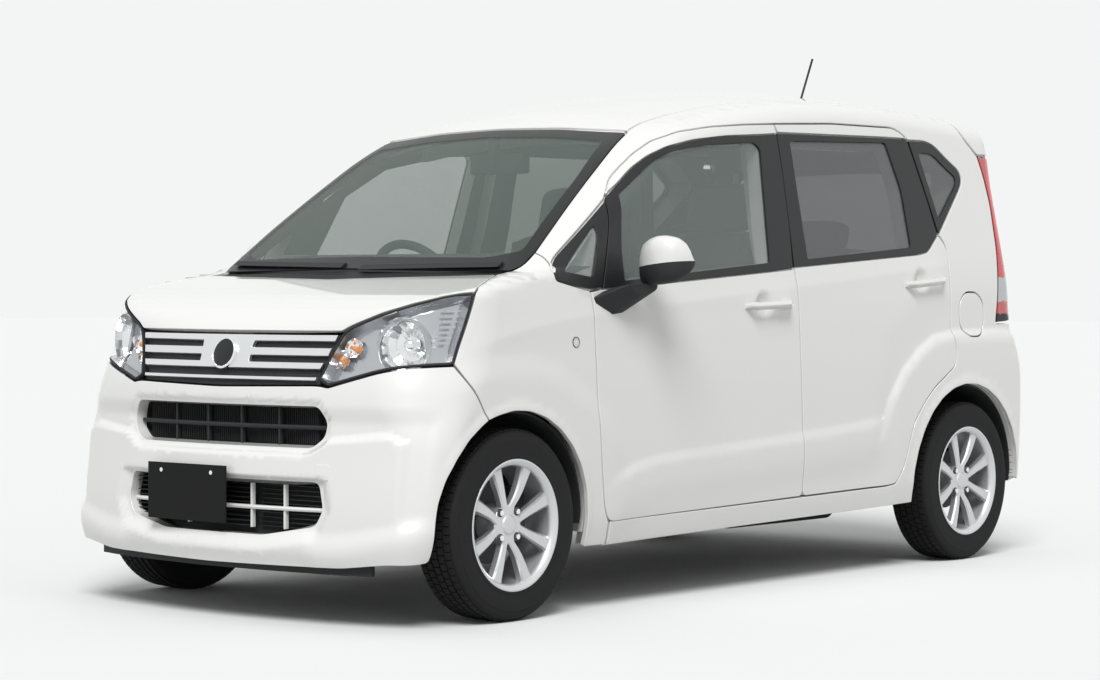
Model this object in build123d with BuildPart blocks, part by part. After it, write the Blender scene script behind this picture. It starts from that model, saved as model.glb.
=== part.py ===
from build123d import *
import os
from collections import namedtuple
from math import cos, radians, sin

# Tall five-door kei hatchback, millimetres.
# +X forward, +Y the car's left, +Z up, origin on the ground below mid length.

# ---- Driving dimensions ----
LENGTH = 3395
HALF_WIDTH = 737
HEIGHT = 1630
WHEELBASE = 2455
FRONT_OVERHANG = 525
NOSE = LENGTH / 2
TAIL = -LENGTH / 2
FRONT_AXLE = NOSE - FRONT_OVERHANG
REAR_AXLE = FRONT_AXLE - WHEELBASE
FRONT_TRACK = 1305
REAR_TRACK = 1295

TYRE_RADIUS = 277
TYRE_WIDTH = 155
RIM_RADIUS = 178
FLANGE_RADIUS = 190
FRONT_ARCH_X = 1183
FRONT_ARCH_RADIUS = 327
REAR_ARCH_X = -1250
REAR_ARCH_RADIUS = 341

GAP = 6
EDGE_RETURN = 12
SKIN = 16
DOOR_THICKNESS = 56
POCKET_DEPTH = DOOR_THICKNESS + 7
SIDE_DEPTH = 112
ROOF_THICKNESS = 24
GLASS_TOP = 7
GLASS_THICKNESS = 5
SCREEN_GLASS = 6
LAMP_DEPTH = 62
TAILGATE_THICKNESS = 52

GROUND_GAP = 150
BELT_BASE = 960
WAIST = 1020
LOFT_TOP = 1660

# Plan outlines of the lower body, bottom to top.
LowerRow = namedtuple("LowerRow", "height nose nose_corner tail half_width")
LOWER_BODY = [
    LowerRow(GROUND_GAP, 1686, 70, -1690, 690),
    LowerRow(210, 1690, 70, -1694, 714),
    LowerRow(300, 1689, 85, TAIL, 727),
    LowerRow(500, 1672, 110, TAIL, 736),
    LowerRow(650, 1654, 180, -1694, HALF_WIDTH),
    LowerRow(800, 1612, 220, -1648, 733),
    LowerRow(900, 1590, 220, -1638, 727),
    LowerRow(BELT_BASE, 1584, 220, -1638, 720),
    LowerRow(WAIST, 1580, 220, -1637, 711),
]
NOSE_BOW = 2150
TAIL_BOW = 8000
TAIL_CORNER = 80

# Plan outlines of the cabin, with the windscreen on the centre line.
CabinRow = namedtuple("CabinRow", "height screen tail half_width")
CABIN = [
    CabinRow(BELT_BASE, 1190, -1638, 720),
    CabinRow(WAIST, 1098, -1637, 711),
    CabinRow(1160, 900, -1635, 676),
    CabinRow(1304, 680, -1634, 650),
    CabinRow(1442, 455, -1642, 622),
    CabinRow(1530, 300, -1640, 604),
    CabinRow(LOFT_TOP, 120, -1580, 576),
]
SCREEN_BOW = 2600
PILLAR_CORNER = 160

# Roof line: two arcs that meet level at the highest point.
ROOF_PEAK_X = -750
ROOF_FRONT_ARC = 4820
ROOF_REAR_ARC = 9000
ROOF_CROWN = 2900

# Bonnet line on the centre, (x, z), then an arc down to the grille.
BONNET_LINE = [(930, WAIST), (1183, 982), (1400, 934)]
BONNET_BROW = [(1400, 934), (1516, 893), (1600, 826)]

ROOF_HALF_WIDTH = 490

FUEL_FLAP_CENTRE = (-1301, 861)
FUEL_FLAP_LENGTH = 162
FUEL_FLAP_HEIGHT = 155
FUEL_FLAP_CORNER = 50
FUEL_FLAP_THICKNESS = 10
TAILGATE_CLEAR = 608

BUMPER_SKIN = 20
PLATE_WIDTH = 330
PLATE_HEIGHT = 165
PLATE_THICKNESS = 5
PLATE_Y = -83
PLATE_Z = 362
PLATE_BOLT_SPACING = 210
PLATE_BOLTS_Y = (PLATE_Y - PLATE_BOLT_SPACING / 2, PLATE_Y + PLATE_BOLT_SPACING / 2)
PLATE_BOLT_Z = PLATE_Z + 60
PLATE_BOLT_RADIUS = 3.5
UPPER_GRILLE_HALF = 402
GRILLE_SET_BACK = 3
GRILLE_DEPTH = 34
INTAKE_SET_BACK = 12
EMBLEM_RADIUS = 58
EMBLEM_HEIGHT = 765
LAMP_SET_BACK = 2
ROOF_REAR_X = -1392

FLOOR_TOP = 288
BOOT_FLOOR = 446
FIREWALL_X = 826
FIREWALL_TOP = 962
WELL_WIDTH = 130
RAIL_Y = 385
STRUT_Y = 532
STRUT_RADIUS = 24
LINER = 6

SEAT_Y = 325
SEAT_WIDTH = 480
HEADREST_WIDTH = 260
REAR_SEAT_HALF = 545
STEERING_CENTRE = (425, -330, 945)
STEERING_RADIUS = 172
STEERING_RAKE = 28
ANTENNA_X = -1292
MIRROR_X = 630
MIRROR_Y = 826
MIRROR_Z = 1040
MIRROR_FOOT_LOW = 940

BEAD_RADIUS = RIM_RADIUS + 2
SPOKE_FACE = 60
SPOKE_DEPTH = 24
SPOKE_PAIRS = 4
HUB_RADIUS = 58
SPINDLE_RADIUS = 20
SPINDLE_END = 10
SHAFT_CLEARANCE = 0.05
KNUCKLE_OFFSET = -68
CALIPER_X = -104
CALIPER_OFFSET = -34
ARM_BOTTOM = 156
ARM_END = 580
JACK_PAD_X = (620, -780)
JACK_PAD_Y = 560
# Brake and drum, by front or rear: offsets from the wheel's middle, and radius.
BRAKE_INNER = {True: -40, False: -56}
BRAKE_OUTER = {True: -30, False: -14}
BRAKE_RADIUS = {True: 117, False: 100}
# Rim section, (offset outwards, radius), and one spoke, (radius, angle).
RIM_SECTION = [
    (-76, FLANGE_RADIUS), (-71.5, FLANGE_RADIUS), (-69.5, BEAD_RADIUS), (69.5, BEAD_RADIUS),
    (71.5, FLANGE_RADIUS),
    (76, FLANGE_RADIUS), (76, 182), (66, 169), (-60, 169), (-72, 176), (-76, 182),
]
SPOKE_OUTLINE = [(50, 10), (174, 18), (174, 27), (50, 35)]


# Panel outlines seen from the side, (x, z), at the middle of the gap.
FRONT_DOOR = [
    (826, 941), (815, 850), (814, 733), (809, 587), (791, 414), (773, 300), (735, 257), (-264, 278),
    (-250, 497), (-240, 700), (-237, 944), (-230, 1019), (-248, 1154), (-261, 1316), (-259, 1488),
    (-84, 1478), (90, 1464), (256, 1441), (373, 1409), (463, 1367), (536, 1324), (594, 1287), (662, 1226),
    (763, 955),
]
REAR_DOOR = [
    (-264, 278), (-250, 497), (-240, 700), (-237, 944), (-230, 1019), (-248, 1154), (-261, 1316),
    (-259, 1488),
    (-595, 1503), (-967, 1505), (-1019, 1488), (-1050, 1461), (-1110, 1264), (-1143, 1137), (-1182, 1096),
    (-1171, 989), (-1158, 817), (-1174, 737), (-1108, 652), (-1035, 614), (-962, 557), (-903, 494),
    (-874, 417), (-849, 346), (-800, 295), (-740, 286),
]
FRONT_DOOR_WINDOW = [
    (655, 1070), (600, 1248), (409, 1354), (190, 1400), (-131, 1420), (-157, 1402), (-104, 1032),
    (314, 1003), (655, 978),
]
REAR_DOOR_WINDOW = [(-335, 1432), (-906, 1448), (-958, 1291), (-955, 1092), (-323, 1048)]
FRONT_CORNER_WINDOW = [(930, 1006), (806, 990), (750, 1112), (754, 1134)]
QUARTER_WINDOW = [(-1072, 1452), (-1208, 1440), (-1346, 1355), (-1336, 1318), (-1152, 1160)]
FRONT_APERTURE = [
    (700, 900), (690, 360), (640, 318), (-180, 318), (-168, 980), (-205, 1415), (90, 1402),
    (360, 1350), (530, 1255), (640, 1000),
]
REAR_APERTURE = [
    (-310, 318), (-700, 318), (-800, 400), (-860, 540), (-1000, 660), (-1110, 760), (-1105, 1000),
    (-1045, 1280), (-1000, 1420), (-310, 1418),
]
FENDER = [
    (838, 950), (894, 957), (982, 975), (991, 1000), (969, 1014), (950, 1044), (955, 1080),
    (1326, 1080), (1326, 946),
    (1414, 741), (1406, 741), (1387, 697), (1350, 645), (1300, 575), (1172, 300), (990, 190),
    (742, 190), (742, 262), (790, 300),
]
BODY_SIDE = [
    (744, 186), (744, 235), (900, 235), (900, 952), (986, 974), (991, 1000), (969, 1014), (950, 1044),
    (955, 1080), (960, 1700),
    (-1392, 1700), (-1392, 1552), (-1416, 1493), (-1494, 1424), (-1513, 1349), (-1525, 1250),
    (-1515, 1096), (-1462, 828),
    (-1592, 826), (-1645, 700), (-1652, 560), (-1652, 275), (-1560, 275), (-890, 219), (-617, 211),
]
FRONT_BUMPER = [
    (1411, 737), (1393, 697), (1356, 645), (1306, 575), (1306, 300), (1480, 168), (1760, 168),
    (1760, 1000), (1411, 1000),
]
REAR_BUMPER = [(-1597, 825), (-1650, 700), (-1657, 560), (-1657, 190), (-1760, 190), (-1760, 825)]
TAILGATE = [
    (-1397, 1700), (-1397, 1550), (-1421, 1489), (-1500, 1428), (-1552, 1428), (-1552, 655),
    (-1800, 655), (-1800, 1700),
]

# Outlines seen from the front, (y, z), left half.
HEADLAMP = [
    (410, 829), (397, 775), (361, 706), (366, 694), (400, 680), (748, 748), (748, 944), (700, 944),
    (629, 920), (548, 890), (443, 846),
]
FACE_OPENING = [(748, 743), (396, 676), (-396, 676), (-748, 743), (-748, 1100), (748, 1100)]
SCREEN_ZONE = [
    (616, 962), (618, 1020), (614, 1062), (512, 1438), (505, 1449), (-505, 1449), (-512, 1438),
    (-614, 1062), (-618, 1020), (-616, 962),
]
COWL_ZONE = [(610, 930), (610, 985), (594, 1003), (-594, 1003), (-610, 985), (-610, 930)]
TAILGATE_FACE = [
    (604, 655), (604, 1180), (596, 1428), (745, 1428), (745, 1700), (-745, 1700), (-745, 1428),
    (-596, 1428), (-604, 1180), (-604, 655),
]
TAIL_LAMP = [(611, 830), (611, 1180), (603, 1422), (760, 1422), (760, 830)]
REAR_BUMPER_FACE = [
    (760, 190), (760, 825), (611, 825), (604, 649), (-604, 649), (-611, 825), (-760, 825), (-760, 190),
]
TAILGATE_WINDOW = [(520, 1060), (500, 1400), (-500, 1400), (-520, 1060)]

# More front and rear outlines, (y, z).
SCREEN_GLASS_ZONE = [
    (594, 1004), (616, 1020), (614, 1062), (512, 1438), (505, 1447), (-505, 1447), (-512, 1438),
    (-614, 1062), (-616, 1020), (-594, 1004),
]
UPPER_GRILLE = [
    (406, 829), (393, 775), (356, 706), (361, 694), (390, 681), (-390, 681), (-361, 694), (-356, 706),
    (-393, 775), (-406, 829), (-300, 870), (300, 870),
]
UPPER_GRILLE_SLOTS = [(700, 716), (736, 752), (772, 788)]
UPPER_INTAKE = [
    (372, 617), (398, 574), (392, 535), (352, 505), (-352, 505), (-392, 535), (-398, 574), (-372, 617),
]
UPPER_INTAKE_SLOTS = [(518, 553), (567, 604)]
UPPER_INTAKE_BAYS = [(-352, -220), (-208, -76), (-64, 64), (76, 208), (220, 352)]
LOWER_INTAKE = [
    (385, 404), (402, 330), (378, 285), (200, 255), (-200, 255), (-378, 285), (-402, 330), (-385, 404),
]
LOWER_INTAKE_SLOTS = [(272, 318), (334, 390)]
LOWER_INTAKE_BAYS = [(-380, -140), (-125, 125), (140, 380)]
# Intakes, top to bottom: outline, heights of the open rows, widths of the open bays.
INTAKES = [
    (UPPER_INTAKE, UPPER_INTAKE_SLOTS, UPPER_INTAKE_BAYS),
    (LOWER_INTAKE, LOWER_INTAKE_SLOTS, LOWER_INTAKE_BAYS),
]
HEADLAMP_SIDE = [(1418, 640), (1418, 739), (1330, 944), (1330, 1000), (1760, 1000), (1760, 640)]
TAIL_LAMP_SIDE = [
    (-1466, 830), (-1519, 1096), (-1529, 1250), (-1517, 1349), (-1499, 1422), (-1800, 1422), (-1800, 830),
]
WIPER_BLADES = [
    [(560, 1016), (560, 1030), (60, 1024), (60, 1010)],
    [(-20, 1016), (-20, 1030), (-560, 1040), (-560, 1026)],
]

# Cabin pieces from the side, (x, z).
DASHBOARD = [
    (826, 690), (826, 962), (1010, 962), (1010, 1000), (900, 1044), (640, 1062), (560, 1035),
    (520, 960), (540, 860), (600, 760), (640, 690),
]
FRONT_SEAT = [
    (-160, 430), (300, 450), (330, 500), (310, 580), (240, 612), (-90, 590), (-150, 640), (-290, 1130),
    (-330, 1150), (-385, 1130), (-250, 600), (-235, 480),
]
FRONT_HEADREST = [(-300, 1130), (-330, 1280), (-360, 1310), (-410, 1300), (-425, 1240), (-370, 1120)]
REAR_SEAT = [
    (-940, 446), (-430, 446), (-405, 500), (-420, 580), (-500, 610), (-790, 600), (-850, 660),
    (-950, 1080), (-985, 1100), (-1040, 1080), (-950, 640),
]
REAR_HEADREST = [(-950, 1070), (-975, 1170), (-1000, 1195), (-1050, 1190), (-1060, 1150), (-1030, 1070)]
EXHAUST_RUN = [(-1356, -370, 345), (-1150, -370, 345), (-1060, -370, 236), (820, -370, 236)]
EXHAUST_RADIUS = 20

# Bonnet outline in plan, (x, y), left half from the rear centre round to the nose.
BONNET_REAR = [(1110, -602), (1188, 0), (1110, 602)]
BONNET_SIDE = [(1110, 602), (1314, 698), (1439, 628), (1509, 545), (1555, 441), (1566, 408)]
BONNET_NOSE_X = 1594


def lofted(rows, inset, outlines):
    """Closed ruled body through plan outlines, one for each row."""
    with BuildPart() as body:
        for row in rows:
            front, front_side, rear, half, corner = outlines(row)
            half = half - inset
            with BuildSketch(Plane.XY.offset(row.height)) as outline:
                with BuildLine():
                    ThreePointArc((front_side - inset, half), (front - inset, 0), (front_side - inset, -half))
                    rear_side = rear + half**2 / (2 * TAIL_BOW) + inset
                    Line((front_side - inset, -half), (rear_side, -half))
                    ThreePointArc((rear_side, -half), (rear + inset, 0), (rear_side, half))
                    Line((rear_side, half), (front_side - inset, half))
                make_face()
                fillet(outline.vertices().filter_by(lambda v: v.X > 0), max(corner - inset, 20))
                fillet(outline.vertices().filter_by(lambda v: v.X < -1000), max(TAIL_CORNER - inset, 20))
        loft(ruled=True)
    return body.part


def lower_outline(row):
    side = row.nose - row.half_width**2 / (2 * NOSE_BOW)
    return row.nose, side, row.tail, row.half_width, row.nose_corner


def cabin_outline(row):
    side = row.screen - row.half_width**2 / (2 * SCREEN_BOW)
    return row.screen, side, row.tail, row.half_width, PILLAR_CORNER


def body_hull(inset):
    """The whole body without openings, its skin moved inwards by inset."""
    lower_rows = LOWER_BODY
    if inset:
        base = LOWER_BODY[0]
        lower_rows = [base._replace(height=GROUND_GAP - 50)] + LOWER_BODY[1:]
    with BuildPart() as lower:
        add(lofted(lower_rows, inset, lower_outline))
        with BuildSketch(Plane.XZ) as below_bonnet:
            with BuildLine():
                lowered = [(x, z - inset) for x, z in BONNET_LINE]
                brow = [(x, z - inset) for x, z in BONNET_BROW]
                start = [(BONNET_LINE[0][0], WAIST)] if inset else []
                Polyline((2 * NOSE, brow[-1][1] - NOSE), (2 * NOSE, 0), (2 * TAIL, 0), (2 * TAIL, WAIST),
                         *start, *lowered)
                ThreePointArc(*brow)
                Line(brow[-1], (2 * NOSE, brow[-1][1] - NOSE))
            make_face()
        extrude(amount=2 * HALF_WIDTH, both=True, mode=Mode.INTERSECT)
    with BuildPart() as cabin:
        add(lofted(CABIN, inset, cabin_outline))
        axis_height = HEIGHT - ROOF_CROWN
        with BuildSketch(Plane.XZ):
            with BuildLine():
                front = CenterArc((ROOF_PEAK_X, HEIGHT - ROOF_FRONT_ARC), ROOF_FRONT_ARC - inset, 90, -28)
                rear = CenterArc((ROOF_PEAK_X, HEIGHT - ROOF_REAR_ARC), ROOF_REAR_ARC - inset, 90, 12)
                Polyline(front @ 1, ((front @ 1).X, axis_height), ((rear @ 1).X, axis_height), rear @ 1)
            make_face()
        revolve(axis=Axis((0, 0, axis_height), (1, 0, 0)), mode=Mode.INTERSECT)
    with BuildPart() as hull:
        add(lower.part)
        add(cabin.part)
    return hull.part


def prism(plane, points, length, margin=0.0):
    """A straight prism on an outline, grown by margin on every side."""
    with BuildPart() as solid:
        with BuildSketch(plane):
            with BuildLine():
                Polyline(*points, close=True)
            make_face()
            if margin:
                offset(amount=margin, kind=Kind.INTERSECTION, mode=Mode.REPLACE)
        extrude(amount=length)
    return solid.part


def side_prism(points, margin=0.0, inner=480.0, outer=HALF_WIDTH + 60.0):
    """Side outline carried across the left half of the car."""
    return prism(Plane.XZ.offset(-outer), points, outer - inner, margin)


def face_prism(points, start, end, margin=0.0):
    """Front or rear outline carried along the car."""
    return prism(Plane.YZ.offset(start), points, end - start, margin)


def bonnet_prism(margin=0.0):
    """Bonnet plan carried upwards through the nose."""
    right_side = [(x, -y) for x, y in reversed(BONNET_SIDE)]
    with BuildPart() as solid:
        with BuildSketch(Plane.XY.offset(760)):
            with BuildLine():
                ThreePointArc(*BONNET_REAR)
                Polyline(*BONNET_SIDE)
                ThreePointArc(BONNET_SIDE[-1], (BONNET_NOSE_X, 0), right_side[0])
                Polyline(*right_side)
            make_face()
            if margin:
                offset(amount=margin, kind=Kind.INTERSECTION, mode=Mode.REPLACE)
        extrude(amount=400)
    return solid.part


def arch_cylinder(middle, radius, inner=400.0):
    """Round wheel arch cutter, left side."""
    with BuildPart() as solid:
        with BuildSketch(Plane.XZ.offset(-HALF_WIDTH - 60)):
            with Locations((middle, TYRE_RADIUS)):
                Circle(radius)
        extrude(amount=HALF_WIDTH + 60 - inner)
    return solid.part


hulls = {}


def hull(inset):
    if inset not in hulls:
        hulls[inset] = body_hull(inset)
    return hulls[inset]


shells = {}


def shell(outer, inner):
    """The layer of the body between two depths below its skin."""
    if (outer, inner) not in shells:
        with BuildPart() as layer:
            add(hull(outer))
            add(hull(inner), mode=Mode.SUBTRACT)
        shells[outer, inner] = layer.part
    return shells[outer, inner]


def door_panel(outline):
    """A door: an outer skin with a core behind it, stepped back along the rear edge to swing clear."""
    with BuildPart() as core:
        add(shell(SKIN, DOOR_THICKNESS))
        add(side_prism(outline, -GAP / 2), mode=Mode.INTERSECT)
        add(side_prism([(x + EDGE_RETURN, z) for x, z in outline], -GAP / 2), mode=Mode.INTERSECT)
    with BuildPart() as panel:
        add(shell(0, SKIN))
        add(side_prism(outline, -GAP / 2), mode=Mode.INTERSECT)
        add(core.part)
    return panel.part


def save(solid, name):
    solid.label = name
    export_step(solid, f"parts/{name}.step")


def save_pair(solid, name):
    """Write a left-hand piece and its mirror image as two nodes."""
    with BuildPart() as right:
        add(solid)
        mirror(about=Plane.XZ, mode=Mode.REPLACE)
    save(solid, f"{name}_left")
    save(right.part, f"{name}_right")


def both_sides(solid):
    """A left-hand piece together with its mirror image."""
    with BuildPart() as pair:
        add(solid)
        mirror(about=Plane.XZ)
    return pair.part


os.makedirs("parts", exist_ok=True)

# ---- Outer panels ----
front_door_pocket = side_prism(FRONT_DOOR, GAP / 2)
rear_door_pocket = side_prism(REAR_DOOR, GAP / 2)
arch_front = arch_cylinder(FRONT_ARCH_X, FRONT_ARCH_RADIUS)
arch_rear = arch_cylinder(REAR_ARCH_X, REAR_ARCH_RADIUS)

with BuildPart() as front_door:
    add(door_panel(FRONT_DOOR))
    add(side_prism(FRONT_DOOR_WINDOW), mode=Mode.SUBTRACT)
save_pair(front_door.part, "front_door")

with BuildPart() as front_door_glass:
    add(shell(GLASS_TOP, GLASS_TOP + GLASS_THICKNESS))
    add(side_prism(FRONT_DOOR_WINDOW), mode=Mode.INTERSECT)
save_pair(front_door_glass.part, "front_door_glass")

with BuildPart() as rear_door:
    add(door_panel(REAR_DOOR))
    add(side_prism(REAR_DOOR_WINDOW), mode=Mode.SUBTRACT)
save_pair(rear_door.part, "rear_door")

with BuildPart() as rear_door_glass:
    add(shell(GLASS_TOP, GLASS_TOP + GLASS_THICKNESS))
    add(side_prism(REAR_DOOR_WINDOW), mode=Mode.INTERSECT)
save_pair(rear_door_glass.part, "rear_door_glass")

with BuildPart() as fender:
    add(shell(0, SKIN))
    add(side_prism(FENDER, 0, 560), mode=Mode.INTERSECT)
    add(front_door_pocket, mode=Mode.SUBTRACT)
    add(bonnet_prism(GAP), mode=Mode.SUBTRACT)
    add(face_prism(SCREEN_ZONE, 900, 1300), mode=Mode.SUBTRACT)
    add(face_prism(COWL_ZONE, 900, 1300), mode=Mode.SUBTRACT)
    add(arch_front, mode=Mode.SUBTRACT)
save(both_sides(fender.part), "fenders")

with BuildPart() as fuel_flap:
    with BuildSketch(Plane.XZ.offset(-HALF_WIDTH - 60)):
        with Locations(FUEL_FLAP_CENTRE):
            RectangleRounded(FUEL_FLAP_LENGTH, FUEL_FLAP_HEIGHT, FUEL_FLAP_CORNER)
    extrude(amount=300)
    add(shell(0, FUEL_FLAP_THICKNESS), mode=Mode.INTERSECT)
save(fuel_flap.part, "fuel_flap")

with BuildPart() as body_side:
    add(shell(0, SIDE_DEPTH))
    add(side_prism(BODY_SIDE), mode=Mode.INTERSECT)
    for pocket in (front_door_pocket, rear_door_pocket):
        with BuildPart(mode=Mode.PRIVATE) as outer_pocket:
            add(pocket)
            add(hull(POCKET_DEPTH), mode=Mode.SUBTRACT)
        add(outer_pocket.part, mode=Mode.SUBTRACT)
    for opening in (FRONT_APERTURE, REAR_APERTURE, FRONT_CORNER_WINDOW, QUARTER_WINDOW):
        add(side_prism(opening), mode=Mode.SUBTRACT)
    add(face_prism(SCREEN_ZONE, 200, 1300), mode=Mode.SUBTRACT)
    with Locations((760, 0, 830)):
        Box(520, 2 * 600, 470, mode=Mode.SUBTRACT)
    with Locations((0, 0, 1510)):
        Box(2 * LENGTH, 2 * ROOF_HALF_WIDTH, 340, mode=Mode.SUBTRACT)
    with Locations((-1650, 0, 900)):
        Box(500, 2 * TAILGATE_CLEAR, 1600, mode=Mode.SUBTRACT)
    add(fender.part, mode=Mode.SUBTRACT)
    add(arch_cylinder(FRONT_ARCH_X, FRONT_ARCH_RADIUS + 18), mode=Mode.SUBTRACT)
    add(arch_rear, mode=Mode.SUBTRACT)

with BuildPart() as body_side_left:
    add(body_side.part)
    with BuildPart(mode=Mode.PRIVATE) as flap_pocket:
        with BuildSketch(Plane.XZ.offset(-HALF_WIDTH - 60)):
            with Locations(FUEL_FLAP_CENTRE):
                RectangleRounded(
                    FUEL_FLAP_LENGTH + 2 * GAP, FUEL_FLAP_HEIGHT + 2 * GAP, FUEL_FLAP_CORNER + GAP
                )
        extrude(amount=300)
        add(hull(DOOR_THICKNESS), mode=Mode.SUBTRACT)
    add(flap_pocket.part, mode=Mode.SUBTRACT)
save(body_side_left.part, "body_side_left")
with BuildPart() as body_side_right:
    add(body_side.part)
    mirror(about=Plane.XZ, mode=Mode.REPLACE)
save(body_side_right.part, "body_side_right")

with BuildPart() as roof:
    with Locations((0, 0, 1560)):
        Box(2 * LENGTH, 2 * ROOF_HALF_WIDTH, 222)
    add(shell(0, ROOF_THICKNESS), mode=Mode.INTERSECT)
    with Locations((ROOF_REAR_X - 300, 0, 1600)):
        Box(600, 2 * HALF_WIDTH, 400, mode=Mode.SUBTRACT)
save(roof.part, "roof")

with BuildPart() as windscreen:
    add(shell(0, SCREEN_GLASS))
    add(face_prism(SCREEN_GLASS_ZONE, 300, 1300), mode=Mode.INTERSECT)
save(windscreen.part, "windscreen")

with BuildPart() as side_glass:
    for window in (FRONT_CORNER_WINDOW, QUARTER_WINDOW):
        with BuildPart(mode=Mode.PRIVATE) as pane:
            add(shell(GLASS_TOP, GLASS_TOP + GLASS_THICKNESS))
            add(side_prism(window), mode=Mode.INTERSECT)
        add(pane.part)
save(both_sides(side_glass.part), "fixed_side_glass")

with BuildPart() as bonnet:
    add(shell(0, SKIN))
    add(bonnet_prism(), mode=Mode.INTERSECT)
save(bonnet.part, "bonnet")

with BuildPart() as cowl:
    add(shell(0, SKIN))
    add(face_prism(COWL_ZONE, 1000, 1184), mode=Mode.INTERSECT)
    add(bonnet_prism(GAP), mode=Mode.SUBTRACT)
save(cowl.part, "cowl")

with BuildPart() as front_bumper:
    add(shell(0, BUMPER_SKIN))
    add(side_prism(FRONT_BUMPER, 0, -800), mode=Mode.INTERSECT)
    add(face_prism(FACE_OPENING, 1300, 1800), mode=Mode.SUBTRACT)
    add(face_prism(UPPER_INTAKE, 1500, 1800), mode=Mode.SUBTRACT)
    add(face_prism(LOWER_INTAKE, 1500, 1800), mode=Mode.SUBTRACT)
    add(both_sides(arch_front), mode=Mode.SUBTRACT)
    with Locations((NOSE - PLATE_THICKNESS - 30, PLATE_Y, 428)):
        Box(60, PLATE_WIDTH - 30, 36)
    with Locations(*[(NOSE - 40, bolt_y, PLATE_BOLT_Z) for bolt_y in PLATE_BOLTS_Y]):
        Cylinder(PLATE_BOLT_RADIUS, 140, rotation=(0, 90, 0), mode=Mode.SUBTRACT)
save(front_bumper.part, "front_bumper")

with BuildPart() as number_plate:
    with BuildSketch(Plane.YZ.offset(NOSE - PLATE_THICKNESS)):
        with Locations((PLATE_Y, PLATE_Z)):
            RectangleRounded(PLATE_WIDTH, PLATE_HEIGHT, 8)
        with Locations(*[(bolt_y, PLATE_BOLT_Z) for bolt_y in PLATE_BOLTS_Y]):
            Circle(PLATE_BOLT_RADIUS, mode=Mode.SUBTRACT)
    extrude(amount=PLATE_THICKNESS)
save(number_plate.part, "number_plate")

# Grilles: frames and bars cut from the same layer as the skin around them.
with BuildPart() as upper_grille:
    add(shell(GRILLE_SET_BACK, GRILLE_SET_BACK + GRILLE_DEPTH))
    add(face_prism(UPPER_GRILLE, 1450, 1800), mode=Mode.INTERSECT)
    for low, high in UPPER_GRILLE_SLOTS:
        for side in (-1, 1):
            near, far = side * EMBLEM_RADIUS * 0.8, side * (UPPER_GRILLE_HALF - 34 - 0.18 * (high - 676))
            slot = [(near, low), (near, high), (far, high), (far, low)]
            add(face_prism(slot, 1450, 1800), mode=Mode.SUBTRACT)
    with Locations((1620, 0, EMBLEM_HEIGHT)):
        Cylinder(EMBLEM_RADIUS, 30, rotation=(0, 90, 0))
    add(bonnet_prism(GAP), mode=Mode.SUBTRACT)
save(upper_grille.part, "upper_grille")

with BuildPart() as intake_grilles:
    for outline, slots, bays in INTAKES:
        with BuildPart(mode=Mode.PRIVATE) as grille:
            add(shell(INTAKE_SET_BACK, INTAKE_SET_BACK + GRILLE_DEPTH))
            add(face_prism(outline, 1500, 1800), mode=Mode.INTERSECT)
            for low, high in slots:
                for left, right in bays:
                    slot = [(left, low), (left, high), (right, high), (right, low)]
                    add(face_prism(slot, 1500, 1800), mode=Mode.SUBTRACT)
        add(grille.part)
save(intake_grilles.part, "intake_grilles")

with BuildPart() as headlamp:
    add(shell(LAMP_SET_BACK, LAMP_DEPTH))
    add(face_prism(HEADLAMP, 1300, 1800), mode=Mode.INTERSECT)
    add(side_prism(HEADLAMP_SIDE, 0, 0), mode=Mode.INTERSECT)
    add(bonnet_prism(GAP), mode=Mode.SUBTRACT)
save(both_sides(headlamp.part), "headlamps")

with BuildPart() as tail_lamp:
    add(shell(LAMP_SET_BACK, LAMP_DEPTH))
    add(face_prism(TAIL_LAMP, -1800, -1400), mode=Mode.INTERSECT)
    add(side_prism(TAIL_LAMP_SIDE), mode=Mode.INTERSECT)
save(both_sides(tail_lamp.part), "tail_lamps")

with BuildPart() as rear_bumper:
    add(shell(0, BUMPER_SKIN))
    add(side_prism(REAR_BUMPER, 0, -800), mode=Mode.INTERSECT)
    add(face_prism(REAR_BUMPER_FACE, -1800, -1400), mode=Mode.INTERSECT)
    add(both_sides(arch_rear), mode=Mode.SUBTRACT)
save(rear_bumper.part, "rear_bumper")

with BuildPart() as tailgate:
    add(shell(0, TAILGATE_THICKNESS))
    add(side_prism(TAILGATE, 0, -800), mode=Mode.INTERSECT)
    add(face_prism(TAILGATE_FACE, -1800, -1300), mode=Mode.INTERSECT)
    add(face_prism(TAILGATE_WINDOW, -1800, -1300), mode=Mode.SUBTRACT)
save(tailgate.part, "tailgate")

with BuildPart() as tailgate_glass:
    add(shell(GLASS_TOP, GLASS_TOP + GLASS_THICKNESS))
    add(face_prism(TAILGATE_WINDOW, -1800, -1300), mode=Mode.INTERSECT)
save(tailgate_glass.part, "tailgate_glass")

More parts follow.
